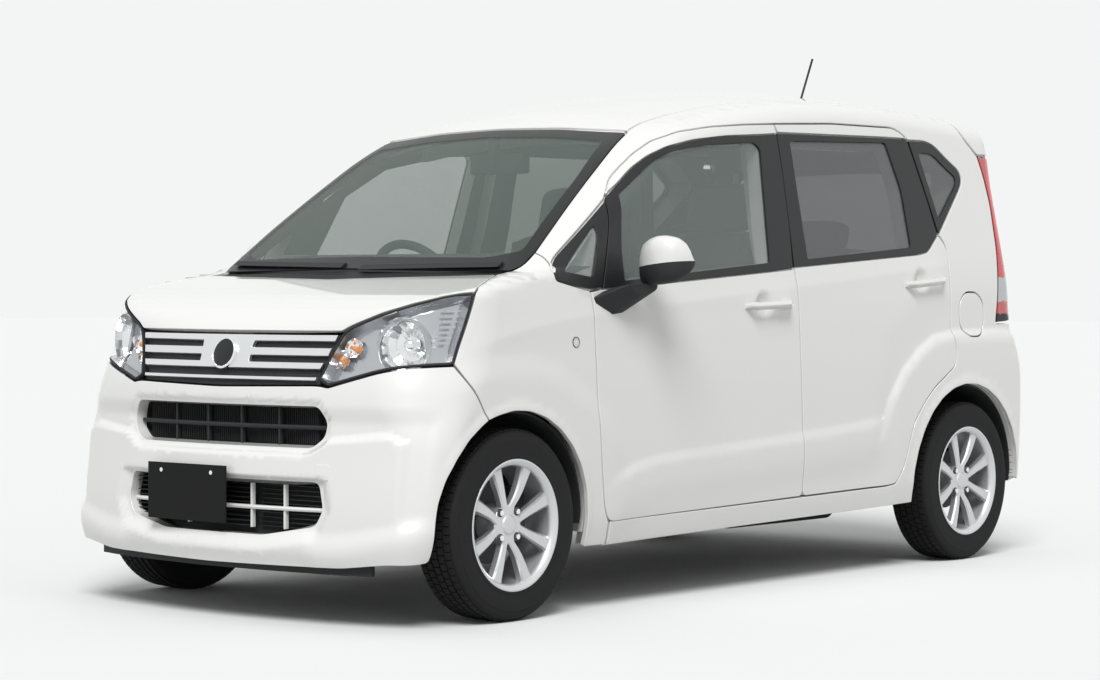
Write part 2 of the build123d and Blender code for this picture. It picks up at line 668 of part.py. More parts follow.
# ---- Structure under and inside the skin ----
with BuildPart() as floor_pan:
    with Locations((-89, 0, FLOOR_TOP - 12)):
        Box(1862, 1300, 24)
    with Locations((-1278, 0, BOOT_FLOOR - 12)):
        Box(556, 1300, 24)
    with Locations((-1012, 0, (BOOT_FLOOR + FLOOR_TOP) / 2 - 12)):
        Box(24, 1300, BOOT_FLOOR - FLOOR_TOP + 24)
    with Locations((FIREWALL_X + 8, 0, (FIREWALL_TOP + FLOOR_TOP) / 2 - 12)):
        Box(16, 1300, FIREWALL_TOP - FLOOR_TOP + 24)
    add(hull(SIDE_DEPTH), mode=Mode.INTERSECT)
    with Locations((REAR_ARCH_X, 620, TYRE_RADIUS), (REAR_ARCH_X, -620, TYRE_RADIUS)):
        Cylinder(REAR_ARCH_RADIUS, WELL_WIDTH, rotation=(90, 0, 0), mode=Mode.SUBTRACT)
    with Locations((1194, RAIL_Y, 430), (1194, -RAIL_Y, 430)):
        Box(704, 44, 80)
    with Locations((1562, 0, 430)):
        Box(34, 1000, 80)
    with Locations((FRONT_AXLE, STRUT_Y - 72, 710), (FRONT_AXLE, 72 - STRUT_Y, 710)):
        Box(150, 196, 16)
    with Locations((FRONT_AXLE, RAIL_Y - 16, 590), (FRONT_AXLE, 16 - RAIL_Y, 590)):
        Box(150, 12, 240)
    for pad_x in JACK_PAD_X:
        with Locations((pad_x, JACK_PAD_Y, FLOOR_TOP - 28), (pad_x, -JACK_PAD_Y, FLOOR_TOP - 28)):
            Box(90, 50, 12)
save(floor_pan.part, "floor_pan")

with BuildPart() as rear_panel:
    with Locations((-1568, 0, 500)):
        Box(24, 1180, 280)
    add(hull(SIDE_DEPTH), mode=Mode.INTERSECT)
    with Locations((REAR_ARCH_X, 620, TYRE_RADIUS), (REAR_ARCH_X, -620, TYRE_RADIUS)):
        Cylinder(REAR_ARCH_RADIUS, WELL_WIDTH, rotation=(90, 0, 0), mode=Mode.SUBTRACT)
save(rear_panel.part, "rear_panel")

with BuildPart() as wheel_liners:
    for arch_x, arch_radius, inner_y in (
        (FRONT_ARCH_X, FRONT_ARCH_RADIUS, 432),
        (REAR_ARCH_X, REAR_ARCH_RADIUS, 556),
    ):
        with BuildPart(mode=Mode.PRIVATE) as liner:
            with BuildSketch(Plane.XZ.offset(-HALF_WIDTH - 20)):
                with Locations((arch_x, TYRE_RADIUS)):
                    Circle(arch_radius)
                    Circle(arch_radius - LINER, mode=Mode.SUBTRACT)
                with Locations((arch_x, 0)):
                    Rectangle(3 * arch_radius, 2 * 262, mode=Mode.SUBTRACT)
            extrude(amount=HALF_WIDTH + 20 - inner_y)
            add(hull(SKIN + 1), mode=Mode.INTERSECT)
            if arch_x > 0:
                with Locations((FRONT_AXLE, 500, 600)):
                    Box(140, 160, 100, mode=Mode.SUBTRACT)
        add(liner.part)
save(both_sides(wheel_liners.part), "wheel_liners")

with BuildPart() as dashboard:
    with BuildSketch(Plane.XZ.offset(-590)):
        with BuildLine():
            Polyline(*DASHBOARD, close=True)
        make_face()
    extrude(amount=1180)
    add(hull(SKIN), mode=Mode.INTERSECT)
save(dashboard.part, "dashboard")

with BuildPart() as seats:
    for side in (-1, 1):
        with BuildSketch(Plane.XZ.offset(-side * SEAT_Y - SEAT_WIDTH / 2)):
            with BuildLine():
                Polyline(*FRONT_SEAT, close=True)
            make_face()
        extrude(amount=SEAT_WIDTH)
        with BuildSketch(Plane.XZ.offset(-side * SEAT_Y - HEADREST_WIDTH / 2)):
            with BuildLine():
                Polyline(*FRONT_HEADREST, close=True)
            make_face()
        extrude(amount=HEADREST_WIDTH)
        with Locations((60, side * SEAT_Y, (FLOOR_TOP + 470) / 2)):
            Box(340, 380, 470 - FLOOR_TOP)
    with BuildSketch(Plane.XZ.offset(-REAR_SEAT_HALF)):
        with BuildLine():
            Polyline(*REAR_SEAT, close=True)
        make_face()
    extrude(amount=2 * REAR_SEAT_HALF)
    for side in (-1, 1):
        with BuildSketch(Plane.XZ.offset(-side * 270 - HEADREST_WIDTH / 2)):
            with BuildLine():
                Polyline(*REAR_HEADREST, close=True)
            make_face()
        extrude(amount=HEADREST_WIDTH)
save(seats.part, "seats")

with BuildPart() as steering_wheel:
    column = (-cos(radians(STEERING_RAKE)), 0, sin(radians(STEERING_RAKE)))
    wheel_plane = Plane(origin=STEERING_CENTRE, x_dir=(0, 1, 0), z_dir=column)
    section_normal = wheel_plane.x_dir.cross(wheel_plane.z_dir)
    with BuildSketch(Plane(origin=wheel_plane.origin, x_dir=wheel_plane.x_dir, z_dir=section_normal)):
        with Locations((STEERING_RADIUS, 0)):
            Circle(15)
    revolve(axis=Axis(wheel_plane.origin, wheel_plane.z_dir))
    with BuildSketch(wheel_plane.offset(-14)):
        RectangleRounded(150, 110, 30)
        with Locations((0, 8)):
            Rectangle(2 * STEERING_RADIUS - 8, 34)
        with Locations((0, STEERING_RADIUS / 2)):
            Rectangle(40, STEERING_RADIUS - 4)
    extrude(amount=22)
    with BuildSketch(wheel_plane.offset(-88)):
        Circle(34)
    extrude(amount=78)
save(steering_wheel.part, "steering_wheel")

with BuildPart() as interior_mirror:
    with Locations((420, 20, 1352)):
        Box(34, 232, 66)
    fillet(interior_mirror.edges(), 10)
    with Locations((448, 20, 1392)):
        Box(30, 26, 88)
    add(hull(SCREEN_GLASS), mode=Mode.INTERSECT)
save(interior_mirror.part, "interior_mirror")

with BuildPart() as antenna:
    with BuildSketch(Plane.XY.offset(1540)):
        with Locations((ANTENNA_X, 0)):
            Circle(15)
    extrude(amount=92)
    add(hull(0), mode=Mode.SUBTRACT)
    rod = Line((ANTENNA_X, 0, 1626), (ANTENNA_X - 84, 0, 1626 + 172))
    with BuildSketch(Plane(origin=rod @ 0, z_dir=rod % 0)):
        Circle(4)
    extrude(amount=rod.length)
save(antenna.part, "antenna")

with BuildPart() as engine:
    with Locations((1170, 20, 570)):
        Box(330, 560, 400)
    fillet(engine.edges(), 30)
    with Locations((1172, 0, TYRE_RADIUS + 27)):
        Box(180, 300, 158)
save(engine.part, "engine")

with BuildPart() as radiator:
    with Locations((1528, 0, 470)):
        Box(34, 620, 400)
save(radiator.part, "radiator")

with BuildPart() as exhaust:
    with BuildLine() as pipe_run:
        FilletPolyline(*EXHAUST_RUN, radius=70)
    with BuildSketch(Plane(origin=pipe_run.line @ 0, z_dir=pipe_run.line % 0)):
        Circle(EXHAUST_RADIUS)
    sweep(path=pipe_run.line)
    with Locations((-1440, -150, 345)):
        Box(170, 560, 120)
    with Locations((-1440, -370, 412), (-1440, 80, 412)):
        Box(20, 20, 20)
    with Locations((600, -370, 252)):
        Box(20, 14, 24)
save(exhaust.part, "exhaust")

with BuildPart() as fuel_tank:
    with Locations((-560, 60, 210)):
        Box(620, 780, 108)
    fillet(fuel_tank.edges(), 30)
save(fuel_tank.part, "fuel_tank")

with BuildPart() as rear_axle:
    with Locations((REAR_AXLE + 110, 0, 262)):
        Cylinder(38, 1060, rotation=(90, 0, 0))
    for side in (-1, 1):
        with Locations((REAR_AXLE + 92, side * 505, 270)):
            Box(333, 46, 60)
        with Locations((REAR_AXLE + 30, side * 452, 342)):
            Cylinder(48, 160)
        with Locations((REAR_AXLE, side * 554, TYRE_RADIUS)):
            Cylinder(60, 52, rotation=(90, 0, 0))
        with Locations((REAR_AXLE, side * 612, TYRE_RADIUS)):
            Cylinder(SPINDLE_RADIUS, 86, rotation=(90, 0, 0))
save(rear_axle.part, "rear_axle")

with BuildPart() as subframe:
    with Locations((FRONT_AXLE, 0, 200)):
        Box(300, 788, 50)
    with BuildSketch(Plane.XY.offset(ARM_BOTTOM)):
        for side in (-1, 1):
            with BuildLine():
                Polyline((FRONT_AXLE - 120, side * 330), (FRONT_AXLE + 120, side * 330),
                         (FRONT_AXLE + 18, side * ARM_END), (FRONT_AXLE - 18, side * ARM_END), close=True)
            make_face()
    extrude(amount=20)
    for side in (-1, 1):
        with Locations((FRONT_AXLE - 130, side * 372, 300)):
            Box(40, 44, 180)
save(subframe.part, "front_subframe")

with BuildPart() as wipers:
    for strip in WIPER_BLADES:
        with BuildPart(mode=Mode.PRIVATE) as blade:
            add(shell(-14, -2))
            add(face_prism(strip, 900, 1300), mode=Mode.INTERSECT)
        add(blade.part)
save(wipers.part, "wipers")

# ---- Door mirrors ----
with BuildPart() as door_mirror:
    with Locations((MIRROR_X, MIRROR_Y, MIRROR_Z)):
        Box(104, 178, 132)
    fillet(door_mirror.edges().filter_by(Axis.X), 42)
    fillet(door_mirror.edges().group_by(Axis.X)[-1], 30)
    with BuildSketch(Plane.XY.offset(MIRROR_FOOT_LOW)):
        with BuildLine():
            Polyline((MIRROR_X - 36, 690), (MIRROR_X + 70, 690),
                     (MIRROR_X + 30, MIRROR_Y + 20), (MIRROR_X - 30, MIRROR_Y + 20), close=True)
        make_face()
    extrude(amount=MIRROR_Z - 40 - MIRROR_FOOT_LOW)
    add(hull(0), mode=Mode.SUBTRACT)
save_pair(door_mirror.part, "door_mirror")

# ---- Wheels, drawn about Y with positive offsets outwards ----
def ring_y(side, inner, outer, radius, mode=Mode.ADD):
    """A disc about Y between two offsets from the wheel's middle."""
    with Locations((0, side * (inner + outer) / 2, 0)):
        Cylinder(radius, outer - inner, rotation=(90, 0, 0), mode=mode)


def polar(radius, angle):
    """A point at a radius and an angle in degrees."""
    return radius * cos(radians(angle)), radius * sin(radians(angle))


def tyre_solid():
    half, bead = TYRE_WIDTH / 2, TYRE_WIDTH / 2 - 8
    tread = half - 16
    waist, shoulder, crown = TYRE_RADIUS - 48, TYRE_RADIUS - 15, TYRE_RADIUS - 3
    with BuildPart() as tyre:
        with BuildSketch(Plane.YZ):
            with BuildLine():
                Polyline((-bead, BEAD_RADIUS), (-half, waist))
                ThreePointArc((-half, waist), (5 - half, shoulder), (-tread, crown))
                ThreePointArc((-tread, crown), (0, TYRE_RADIUS), (tread, crown))
                ThreePointArc((tread, crown), (half - 5, shoulder), (half, waist))
                Polyline((half, waist), (bead, BEAD_RADIUS), (-bead, BEAD_RADIUS))
            make_face()
        revolve(axis=Axis.Y)
    return tyre.part


def rim_solid(side, front):
    with BuildPart() as rim:
        with BuildSketch(Plane.YZ):
            with BuildLine():
                Polyline(*[(side * offset_y, radius) for offset_y, radius in RIM_SECTION], close=True)
            make_face()
        revolve(axis=Axis.Y)
        with BuildSketch(Plane.XZ.offset(-SPOKE_FACE if side > 0 else SPOKE_FACE - SPOKE_DEPTH)):
            for pair in range(SPOKE_PAIRS):
                middle = 360 / SPOKE_PAIRS * pair
                for lean in (-1, 1):
                    with BuildLine():
                        Polyline(*[
                            polar(radius, middle + lean * angle) for radius, angle in SPOKE_OUTLINE
                        ], close=True)
                    make_face()
        extrude(amount=SPOKE_DEPTH)
        ring_y(side, BRAKE_INNER[front], SPOKE_FACE - 4, HUB_RADIUS)
        ring_y(side, BRAKE_INNER[front], BRAKE_OUTER[front], BRAKE_RADIUS[front])
        ring_y(side, -70, SPINDLE_END + 2, SPINDLE_RADIUS + SHAFT_CLEARANCE, Mode.SUBTRACT)
    return rim.part


for side, side_name in ((1, "left"), (-1, "right")):
    for front, end_name, axle, track in (
        (True, "front", FRONT_AXLE, FRONT_TRACK),
        (False, "rear", REAR_AXLE, REAR_TRACK),
    ):
        place = Location((axle, side * track / 2, TYRE_RADIUS))
        save(tyre_solid().moved(place), f"{end_name}_tyre_{side_name}")
        save(rim_solid(side, front).moved(place), f"{end_name}_wheel_{side_name}")

    with BuildPart() as knuckle:
        with Locations((0, side * KNUCKLE_OFFSET, 10)):
            Box(56, 30, 180)
        with Locations((0, side * KNUCKLE_OFFSET, 0)):
            Cylinder(58, 28, rotation=(90, 0, 0))
        ring_y(side, KNUCKLE_OFFSET, SPINDLE_END, SPINDLE_RADIUS)
        with Locations((CALIPER_X, side * CALIPER_OFFSET, 40)):
            Box(64, 50, 120)
        with Locations((-50, side * (KNUCKLE_OFFSET - 2), 40)):
            Box(90, 26, 60)
        with Locations((0, side * (BRAKE_INNER[True] + BRAKE_OUTER[True]) / 2, 0)):
            Cylinder(BRAKE_RADIUS[True] + GAP, 10 + 2 * GAP, rotation=(90, 0, 0), mode=Mode.SUBTRACT)
        ring_y(side, KNUCKLE_OFFSET, SPINDLE_END, SPINDLE_RADIUS)
        strut = Line((0, side * (KNUCKLE_OFFSET - 22), 80), (0, side * (STRUT_Y - 40 - FRONT_TRACK / 2), 415))
        with BuildSketch(Plane(origin=strut @ 0, z_dir=strut % 0)):
            Circle(STRUT_RADIUS)
        extrude(amount=strut.length)
    hub = Location((FRONT_AXLE, side * FRONT_TRACK / 2, TYRE_RADIUS))
    save(knuckle.part.moved(hub), f"knuckle_{side_name}")
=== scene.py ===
import math

import bmesh
import bpy
import numpy as np
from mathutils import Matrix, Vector
from mathutils.geometry import delaunay_2d_cdt


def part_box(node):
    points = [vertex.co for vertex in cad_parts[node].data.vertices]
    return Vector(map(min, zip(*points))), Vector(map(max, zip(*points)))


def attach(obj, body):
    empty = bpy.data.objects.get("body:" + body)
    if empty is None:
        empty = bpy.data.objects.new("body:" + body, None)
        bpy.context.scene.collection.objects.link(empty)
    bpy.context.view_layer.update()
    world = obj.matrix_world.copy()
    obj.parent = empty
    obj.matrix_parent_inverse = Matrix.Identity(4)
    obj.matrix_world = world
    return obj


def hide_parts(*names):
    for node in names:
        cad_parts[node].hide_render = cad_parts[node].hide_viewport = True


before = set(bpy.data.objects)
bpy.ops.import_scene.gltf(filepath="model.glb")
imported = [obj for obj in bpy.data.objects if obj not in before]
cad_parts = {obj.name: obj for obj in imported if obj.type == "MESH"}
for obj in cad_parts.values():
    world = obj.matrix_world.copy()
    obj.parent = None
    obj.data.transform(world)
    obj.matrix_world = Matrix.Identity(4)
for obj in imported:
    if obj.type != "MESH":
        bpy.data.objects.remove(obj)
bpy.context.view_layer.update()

bl_info = {
    "name": "Tall Kei Hatchback",
    "version": (1, 0, 0),
    "blender": (4, 5, 0),
    "location": "View3D > Sidebar > Hatchback",
    "description": "Builds a tall five-door hatchback panel by panel",
    "category": "Add Mesh",
}

# Shapes are worked out in millimetres, in the car's own frame, and written to meshes in metres.
MM = 0.001

# ---- Body form ----------------------------------------------------------------------------
GROUND_GAP = 150.0
FRONT_AXLE, REAR_AXLE, WHEEL_HEIGHT = 1172.5, -1282.5, 277.0
FRONT_ARCH, REAR_ARCH = (1183.0, 277.0, 327.0), (-1250.0, 277.0, 341.0)

# Plan outlines from sill to belt: height, nose, nose corner, tail, half width.
LOWER_BODY = np.array([
    (150, 1686, 70, -1690, 690), (210, 1690, 70, -1694, 712), (300, 1689, 85, -1697, 727),
    (500, 1672, 110, -1697, 736), (650, 1654, 180, -1694, 737), (800, 1612, 220, -1648, 733),
    (900, 1590, 220, -1638, 727), (960, 1584, 220, -1638, 720), (1020, 1580, 220, -1637, 711),
], float)
# Plan outlines of the cabin: height, windscreen, front corner, tail, half width.
CABIN = np.array([
    (960, 1190, 160, -1638, 720), (1020, 1098, 160, -1637, 711), (1160, 900, 160, -1635, 683),
    (1304, 680, 160, -1634, 653), (1442, 455, 160, -1642, 624), (1530, 300, 150, -1640, 604),
    (1660, 120, 150, -1580, 576),
], float)
NOSE_BOW, SCREEN_BOW, TAIL_BOW, TAIL_CORNER = 2150.0, 2600.0, 8000.0, 80.0
BONNET_LINE = np.array([
    (-3000, 1020), (930, 1020), (1183, 982), (1400, 934), (1460, 917), (1516, 893), (1560, 862),
    (1600, 826), (3000, -574),
], float)
ROOF_PEAK, ROOF_TOP, ROOF_FRONT_ARC, ROOF_REAR_ARC, ROOF_CROWN = -750.0, 1630.0, 4820.0, 9000.0, 2900.0

# Folds in the side, as lines of (x, z).
SHOULDER = [(1400, 772), (1373, 781), (1150, 832), (964, 860), (821, 874), (615, 890), (314, 914), (49, 935),
            (-215, 954), (-472, 973), (-878, 1007), (-1164, 1034)]
FRONT_BULGE = [(1480, 722), (1385, 753), (1265, 776), (1108, 777), (970, 745), (808, 652), (735, 597),
               (680, 530), (640, 440)]
REAR_BULGE = [(-700, 480), (-743, 576), (-838, 683), (-937, 752), (-1036, 797), (-1161, 814), (-1468, 815),
              (-1720, 800)]
LOWER_FOLD = [(760, 372), (719, 396), (613, 430), (507, 445), (238, 459), (-26, 471), (-246, 484), (-405, 492),
              (-702, 516)]

# Dishes behind the pull handles: centre, radius, depth.
GRIP_DISHES = ((-47, 895, 58, 13), (-987, 972, 57, 13))


def hermite(table, z):
    """Smooth values between a table's rows that never overshoot them."""
    key = table[:, 0]
    step = np.diff(key)
    slopes = np.diff(table[:, 1:], axis=0) / step[:, None]
    tangent = np.zeros_like(table[:, 1:])
    tangent[0], tangent[-1] = slopes[0], slopes[-1]
    before, after = slopes[:-1], slopes[1:]
    same = before * after > 0
    mean = 2 * before * after / np.where(same, before + after, 1)
    tangent[1:-1] = np.where(same, mean, 0)
    z = np.clip(z, key[0], key[-1])
    i = np.clip(np.searchsorted(key, z, side="right") - 1, 0, len(step) - 1)
    t = (z - key[i]) / step[i]
    t2, t3, span = t * t, t * t * t, step[i]
    a, b, c, d = 2 * t3 - 3 * t2 + 1, t3 - 2 * t2 + t, 3 * t2 - 2 * t3, t3 - t2
    values = table[:, 1:]
    return [a * values[i, k] + b * span * tangent[i, k] + c * values[i + 1, k] + d * span * tangent[i + 1, k]
            for k in range(values.shape[1])]


def round_max(a, b, radius):
    """Union of two distances with a rounded outside corner."""
    return (np.minimum(np.maximum(a, b), -radius)
            + np.hypot(np.maximum(a + radius, 0), np.maximum(b + radius, 0)))


def ramp(value, start, end):
    """0 at start, 1 at end, smooth between."""
    t = np.clip((value - start) / (end - start), 0, 1)
    return t * t * (3 - 2 * t)


def line_distance(x, z, line):
    """Signed distance to a line of points, positive on its left as it runs."""
    best = np.full(np.shape(x), 1e9)
    sign = np.ones(np.shape(x))
    for (ax, az), (bx, bz) in zip(line[:-1], line[1:]):
        dx, dz = bx - ax, bz - az
        t = np.clip(((x - ax) * dx + (z - az) * dz) / (dx * dx + dz * dz), 0, 1)
        ex, ez = x - ax - t * dx, z - az - t * dz
        distance = np.hypot(ex, ez)
        nearer = distance < best
        best = np.where(nearer, distance, best)
        sign = np.where(nearer, np.sign(dx * ez - dz * ex), sign)
    return best * sign


def side_relief(x, z):
    """How far the side stands proud of its plain form."""
    crease = -line_distance(x, z, SHOULDER)
    fade = ramp(x, 1420, 1250) * ramp(x, -1230, -1080)
    out = 4.0 * np.exp(-np.sqrt(crease * crease + 36) / 42) * fade
    front = -line_distance(x, z, FRONT_BULGE)
    out += np.where(x > 560, 7.0 * ramp(front, 0, -84) * ramp(x, 1500, 1420) * ramp(x, 600, 760), 0)
    rear = -line_distance(x, z, REAR_BULGE)
    out += np.where(x < -600, (9.0 * ramp(rear, 0, -46) - 5.0 * ramp(rear, 170, 0) * ramp(rear, -30, 0))
                    * ramp(x, -640, -820), 0)
    low = -line_distance(x, z, LOWER_FOLD)
    out += 6.5 * ramp(low, 14, -30) * ramp(low, -190, -70) * ramp(x, 790, 640) * ramp(x, -800, -640)
    for cx, cz, radius in (FRONT_ARCH, REAR_ARCH):
        out += 4.0 * ramp(np.hypot(x - cx, z - cz) - radius, 34, 6)
    for cx, cz, radius, depth in GRIP_DISHES:
        out -= depth * ramp(np.hypot(x - cx, z - cz), radius, radius * 0.3)
    return out


# Folds in the nose, as lines of (y, z) on one half.
SHELF = [(0, 490), (338, 489), (384, 505), (423, 531), (600, 549), (654, 530)]
LIP = [(0, 236), (345, 232), (405, 214), (500, 220), (620, 244), (700, 262)]
UPPER_INTAKE = [(-372, 617), (-398, 574), (-392, 535), (-352, 505), (352, 505), (392, 535), (398, 574),
                (372, 617)]
LOWER_INTAKE = [(385, 404), (402, 330), (378, 285), (200, 255), (-200, 255), (-378, 285), (-402, 330),
                (-385, 404)]


def loop_distance(y, z, loop):
    """Distance to a closed outline, negative inside."""
    closed = list(loop) + [loop[0]]
    distance = np.abs(line_distance(y, z, closed))
    return np.where(inside(np.stack([y, z], -1), np.array(loop, float)), -distance, distance)


def nose_relief(y, z):
    """How far the nose stands proud of its plain form, below the lamps."""
    y = np.abs(y)
    shelf = np.interp(y, [p[0] for p in SHELF], [p[1] for p in SHELF])
    plateau = ramp(z, shelf + 6, shelf - 16) * ramp(y, 668, 644)
    out = -12.0 * ramp(z, 628, 566) * ramp(z, 268, 330) * (1 - plateau) * ramp(y, 730, 690)
    lip = np.interp(y, [p[0] for p in LIP], [p[1] for p in LIP])
    out += 11.0 * ramp(z, lip + 58, lip + 2) * ramp(z, lip - 75, lip - 4)
    mouth = loop_distance(y, z, LOWER_INTAKE)
    out += -20.0 * ramp(mouth, 52, 4) * ramp(z, 425, 402)
    mouth = loop_distance(y, z, UPPER_INTAKE)
    out += -10.0 * ramp(mouth, 26, 2)
    return out


def plan_distance(x, y, rows, bow):
    front, corner, tail, half = rows
    ahead = x - (front - y * y / (2 * bow))
    behind = (tail + y * y / (2 * TAIL_BOW)) - x
    beside = y - half
    return np.where(x > 0, round_max(ahead, beside, corner), round_max(behind, beside, TAIL_CORNER))


def form(points):
    """Signed distance to the body's outer form, negative inside."""
    x, y, z = points[..., 0], np.abs(points[..., 1]), points[..., 2]
    nose = ramp(x, 1380, 1500) * ramp(z, 690, 650)
    side = side_relief(x, z)
    push = nose_relief(y, z) * nose
    front, corner, tail, half = hermite(LOWER_BODY, z)
    lower = plan_distance(x, y, (front + push, corner, tail, half + side * (1 - ramp(x, 1450, 1530))), NOSE_BOW)
    lower = round_max(lower, (z - np.interp(x, BONNET_LINE[:, 0], BONNET_LINE[:, 1])) * 0.93, 26)
    lower = np.maximum(np.maximum(lower, GROUND_GAP - z), z - 1020)
    front, corner, tail, half = hermite(CABIN, z)
    cabin = plan_distance(x, y, (front, corner, tail, half + side), SCREEN_BOW)
    axis = ROOF_TOP - ROOF_CROWN
    height = np.hypot(y, z - axis) + axis
    arc = np.where(x > ROOF_PEAK, ROOF_FRONT_ARC, ROOF_REAR_ARC)
    cabin = round_max(cabin, height - (ROOF_TOP - (x - ROOF_PEAK) ** 2 / (2 * arc)), 55)
    cabin = np.maximum(cabin, 960 - z)
    return np.minimum(lower, cabin)


def gradient(points, step=1.5):
    """Outward direction of the form at points near it."""
    result = np.zeros_like(points)
    for k in range(3):
        shift = np.zeros(3)
        shift[k] = step
        result[:, k] = form(points + shift) - form(points - shift)
    return result / np.maximum(np.linalg.norm(result, axis=1), 1e-9)[:, None]


def settle(points, rounds=6):
    """Move points onto the form along its own direction."""
    points = np.array(points, float)
    for _ in range(rounds):
        value = form(points)
        slope = gradient(points)
        ahead = form(points + slope * 2.0)
        rate = np.clip((ahead - value) / 2.0, 0.3, 2.0)
        points = points - slope * np.clip(value / rate, -40, 40)[:, None]
    return points


def march(origins, directions, reach):
    """Where rays from inside leave the form."""
    low, high = np.zeros(len(origins)), np.full(len(origins), float(reach))
    for _ in range(20):
        middle = (low + high) / 2
        within = form(origins + directions * middle[:, None]) < 0
        low, high = np.where(within, middle, low), np.where(within, high, middle)
    return origins + directions * low[:, None]


class SideView:
    """Seen from one side of the car: (x, z)."""

    def __init__(self, hand=1.0):
        self.hand = hand

    def flat(self, points):
        return points[:, [0, 2]]

    def lift(self, flat):
        zero = np.zeros(len(flat))
        return march(np.stack([flat[:, 0], zero, flat[:, 1]], 1), np.tile([0.0, self.hand, 0], (len(flat), 1)),
                     900)


class EndView:
    """Seen from the front or the rear: (y, z)."""

    def __init__(self, heading):
        self.heading = heading

    def flat(self, points):
        return points[:, [1, 2]]

    def lift(self, flat):
        origins = np.stack([np.zeros(len(flat)), flat[:, 0], flat[:, 1]], 1)
        return march(origins, np.tile([float(self.heading), 0, 0], (len(flat), 1)), 2200)


class TopView:
    """Seen from above: (x, y)."""

    def flat(self, points):
        return points[:, :2]

    def lift(self, flat):
        origins = np.stack([flat[:, 0], flat[:, 1], np.full(len(flat), 500.0)], 1)
        return march(origins, np.tile([0.0, 0, 1], (len(flat), 1)), 1300)


class Fan:
    """Seen from a point inside: turn and climb, scaled by a distance."""

    def __init__(self, centre, heading, distance):
        self.centre, self.heading, self.distance = np.array(centre, float), math.radians(heading), distance

    def flat(self, points):
        away = points - self.centre
        turn = np.arctan2(away[:, 1], away[:, 0]) - self.heading
        turn = (turn + math.pi) % (2 * math.pi) - math.pi
        return np.stack([turn, away[:, 2] / np.hypot(away[:, 0], away[:, 1])], 1) * self.distance

    def lift(self, flat):
        turn, climb = flat[:, 0] / self.distance + self.heading, flat[:, 1] / self.distance
        directions = np.stack([np.cos(turn), np.sin(turn), climb], 1)
        return march(np.tile(self.centre, (len(flat), 1)), directions, 2600)


VIEWS = {"S": SideView(), "s": SideView(-1.0), "F": EndView(1), "R": EndView(-1), "T": TopView()}


def inside(points, loop):
    """Which 2-D points lie inside a closed loop."""
    x, y = points[..., 0], points[..., 1]
    result = np.zeros(x.shape, bool)
    ax, ay = loop[-1]
    for bx, by in loop:
        crosses = (ay > y) != (by > y)
        if ay != by:
            result ^= crosses & (x < (bx - ax) * (y - ay) / (by - ay) + ax)
        ax, ay = bx, by
    return result


def outline(knots, pitch=9.0):
    """A smooth closed line on the body through knots (view, a, b[, corner radius])."""
    places, radii = [], []
    count = len(knots)
    for i, knot in enumerate(knots):
        following = knots[(i + 1) % count]
        places.append((knot[0], knot[1], knot[2]))
        radii.append(knot[3] if len(knot) > 3 else None)
        if following[0] == knot[0]:
            a, b = np.array(knot[1:3], float), np.array(following[1:3], float)
            parts = int(np.linalg.norm(b - a) // 60)
            for part in range(1, parts + 1):
                places.append((knot[0], *(a + (b - a) * part / (parts + 1))))
                radii.append(None)
    controls = np.zeros((len(places), 3))
    for key in {place[0] for place in places}:
        rows = [i for i, place in enumerate(places) if place[0] == key]
        controls[rows] = VIEWS[key].lift(np.array([places[i][1:] for i in rows], float))
    path = []
    total = len(controls)
    for i in range(total):
        before, here, after = controls[i - 1], controls[i], controls[(i + 1) % total]
        first, second = (before + here) / 2, (here + after) / 2
        if radii[i] is not None:
            reach = radii[i]
            first = here + (before - here) * min(0.5, reach / max(np.linalg.norm(before - here), 1e-6))
            second = here + (after - here) * min(0.5, reach / max(np.linalg.norm(after - here), 1e-6))
        steps = 4 if radii[i] is not None else 3
        for step in range(steps + 1):
            t = step / steps
            path.append((1 - t) ** 2 * first + 2 * t * (1 - t) * here + t * t * second)
    return even(np.array(path), pitch)


def even(path, pitch):
    """Resample a closed line on the body at an even pitch, keeping its bends."""
    path = np.vstack([path, path[:1]])
    gaps = np.linalg.norm(np.diff(path, axis=0), axis=1)
    keep = np.concatenate([[True], gaps > 0.3])
    path = path[keep]
    gaps = np.linalg.norm(np.diff(path, axis=0), axis=1)
    result = []
    for point, following, gap in zip(path[:-1], path[1:], gaps):
        parts = max(1, int(math.ceil(gap / pitch)))
        for part in range(parts):
            result.append(point + (following - point) * part / parts)
    result = settle(np.array(result))
    if np.linalg.norm(result[0] - result[-1]) < 0.5:
        result = result[:-1]
    return result


def user_size(key):
    """A size that the user can change, in millimetres."""
    return round(getattr(bpy.context.scene.hatch_sizes, key) / MM, 3)


# ---- Panels -------------------------------------------------------------------------------
DISH_FOLD = 0.72


def dish_fold(cx, cz, radius, _):
    """The ring where a grip dish folds, as side view points."""
    turns = [math.radians(a) for a in range(0, 361, 30)]
    return [(cx + radius * DISH_FOLD * math.cos(a), cz + radius * DISH_FOLD * math.sin(a)) for a in turns]


FOLD_LINES = [SHOULDER, FRONT_BULGE, REAR_BULGE, LOWER_FOLD] + [dish_fold(*dish) for dish in GRIP_DISHES]


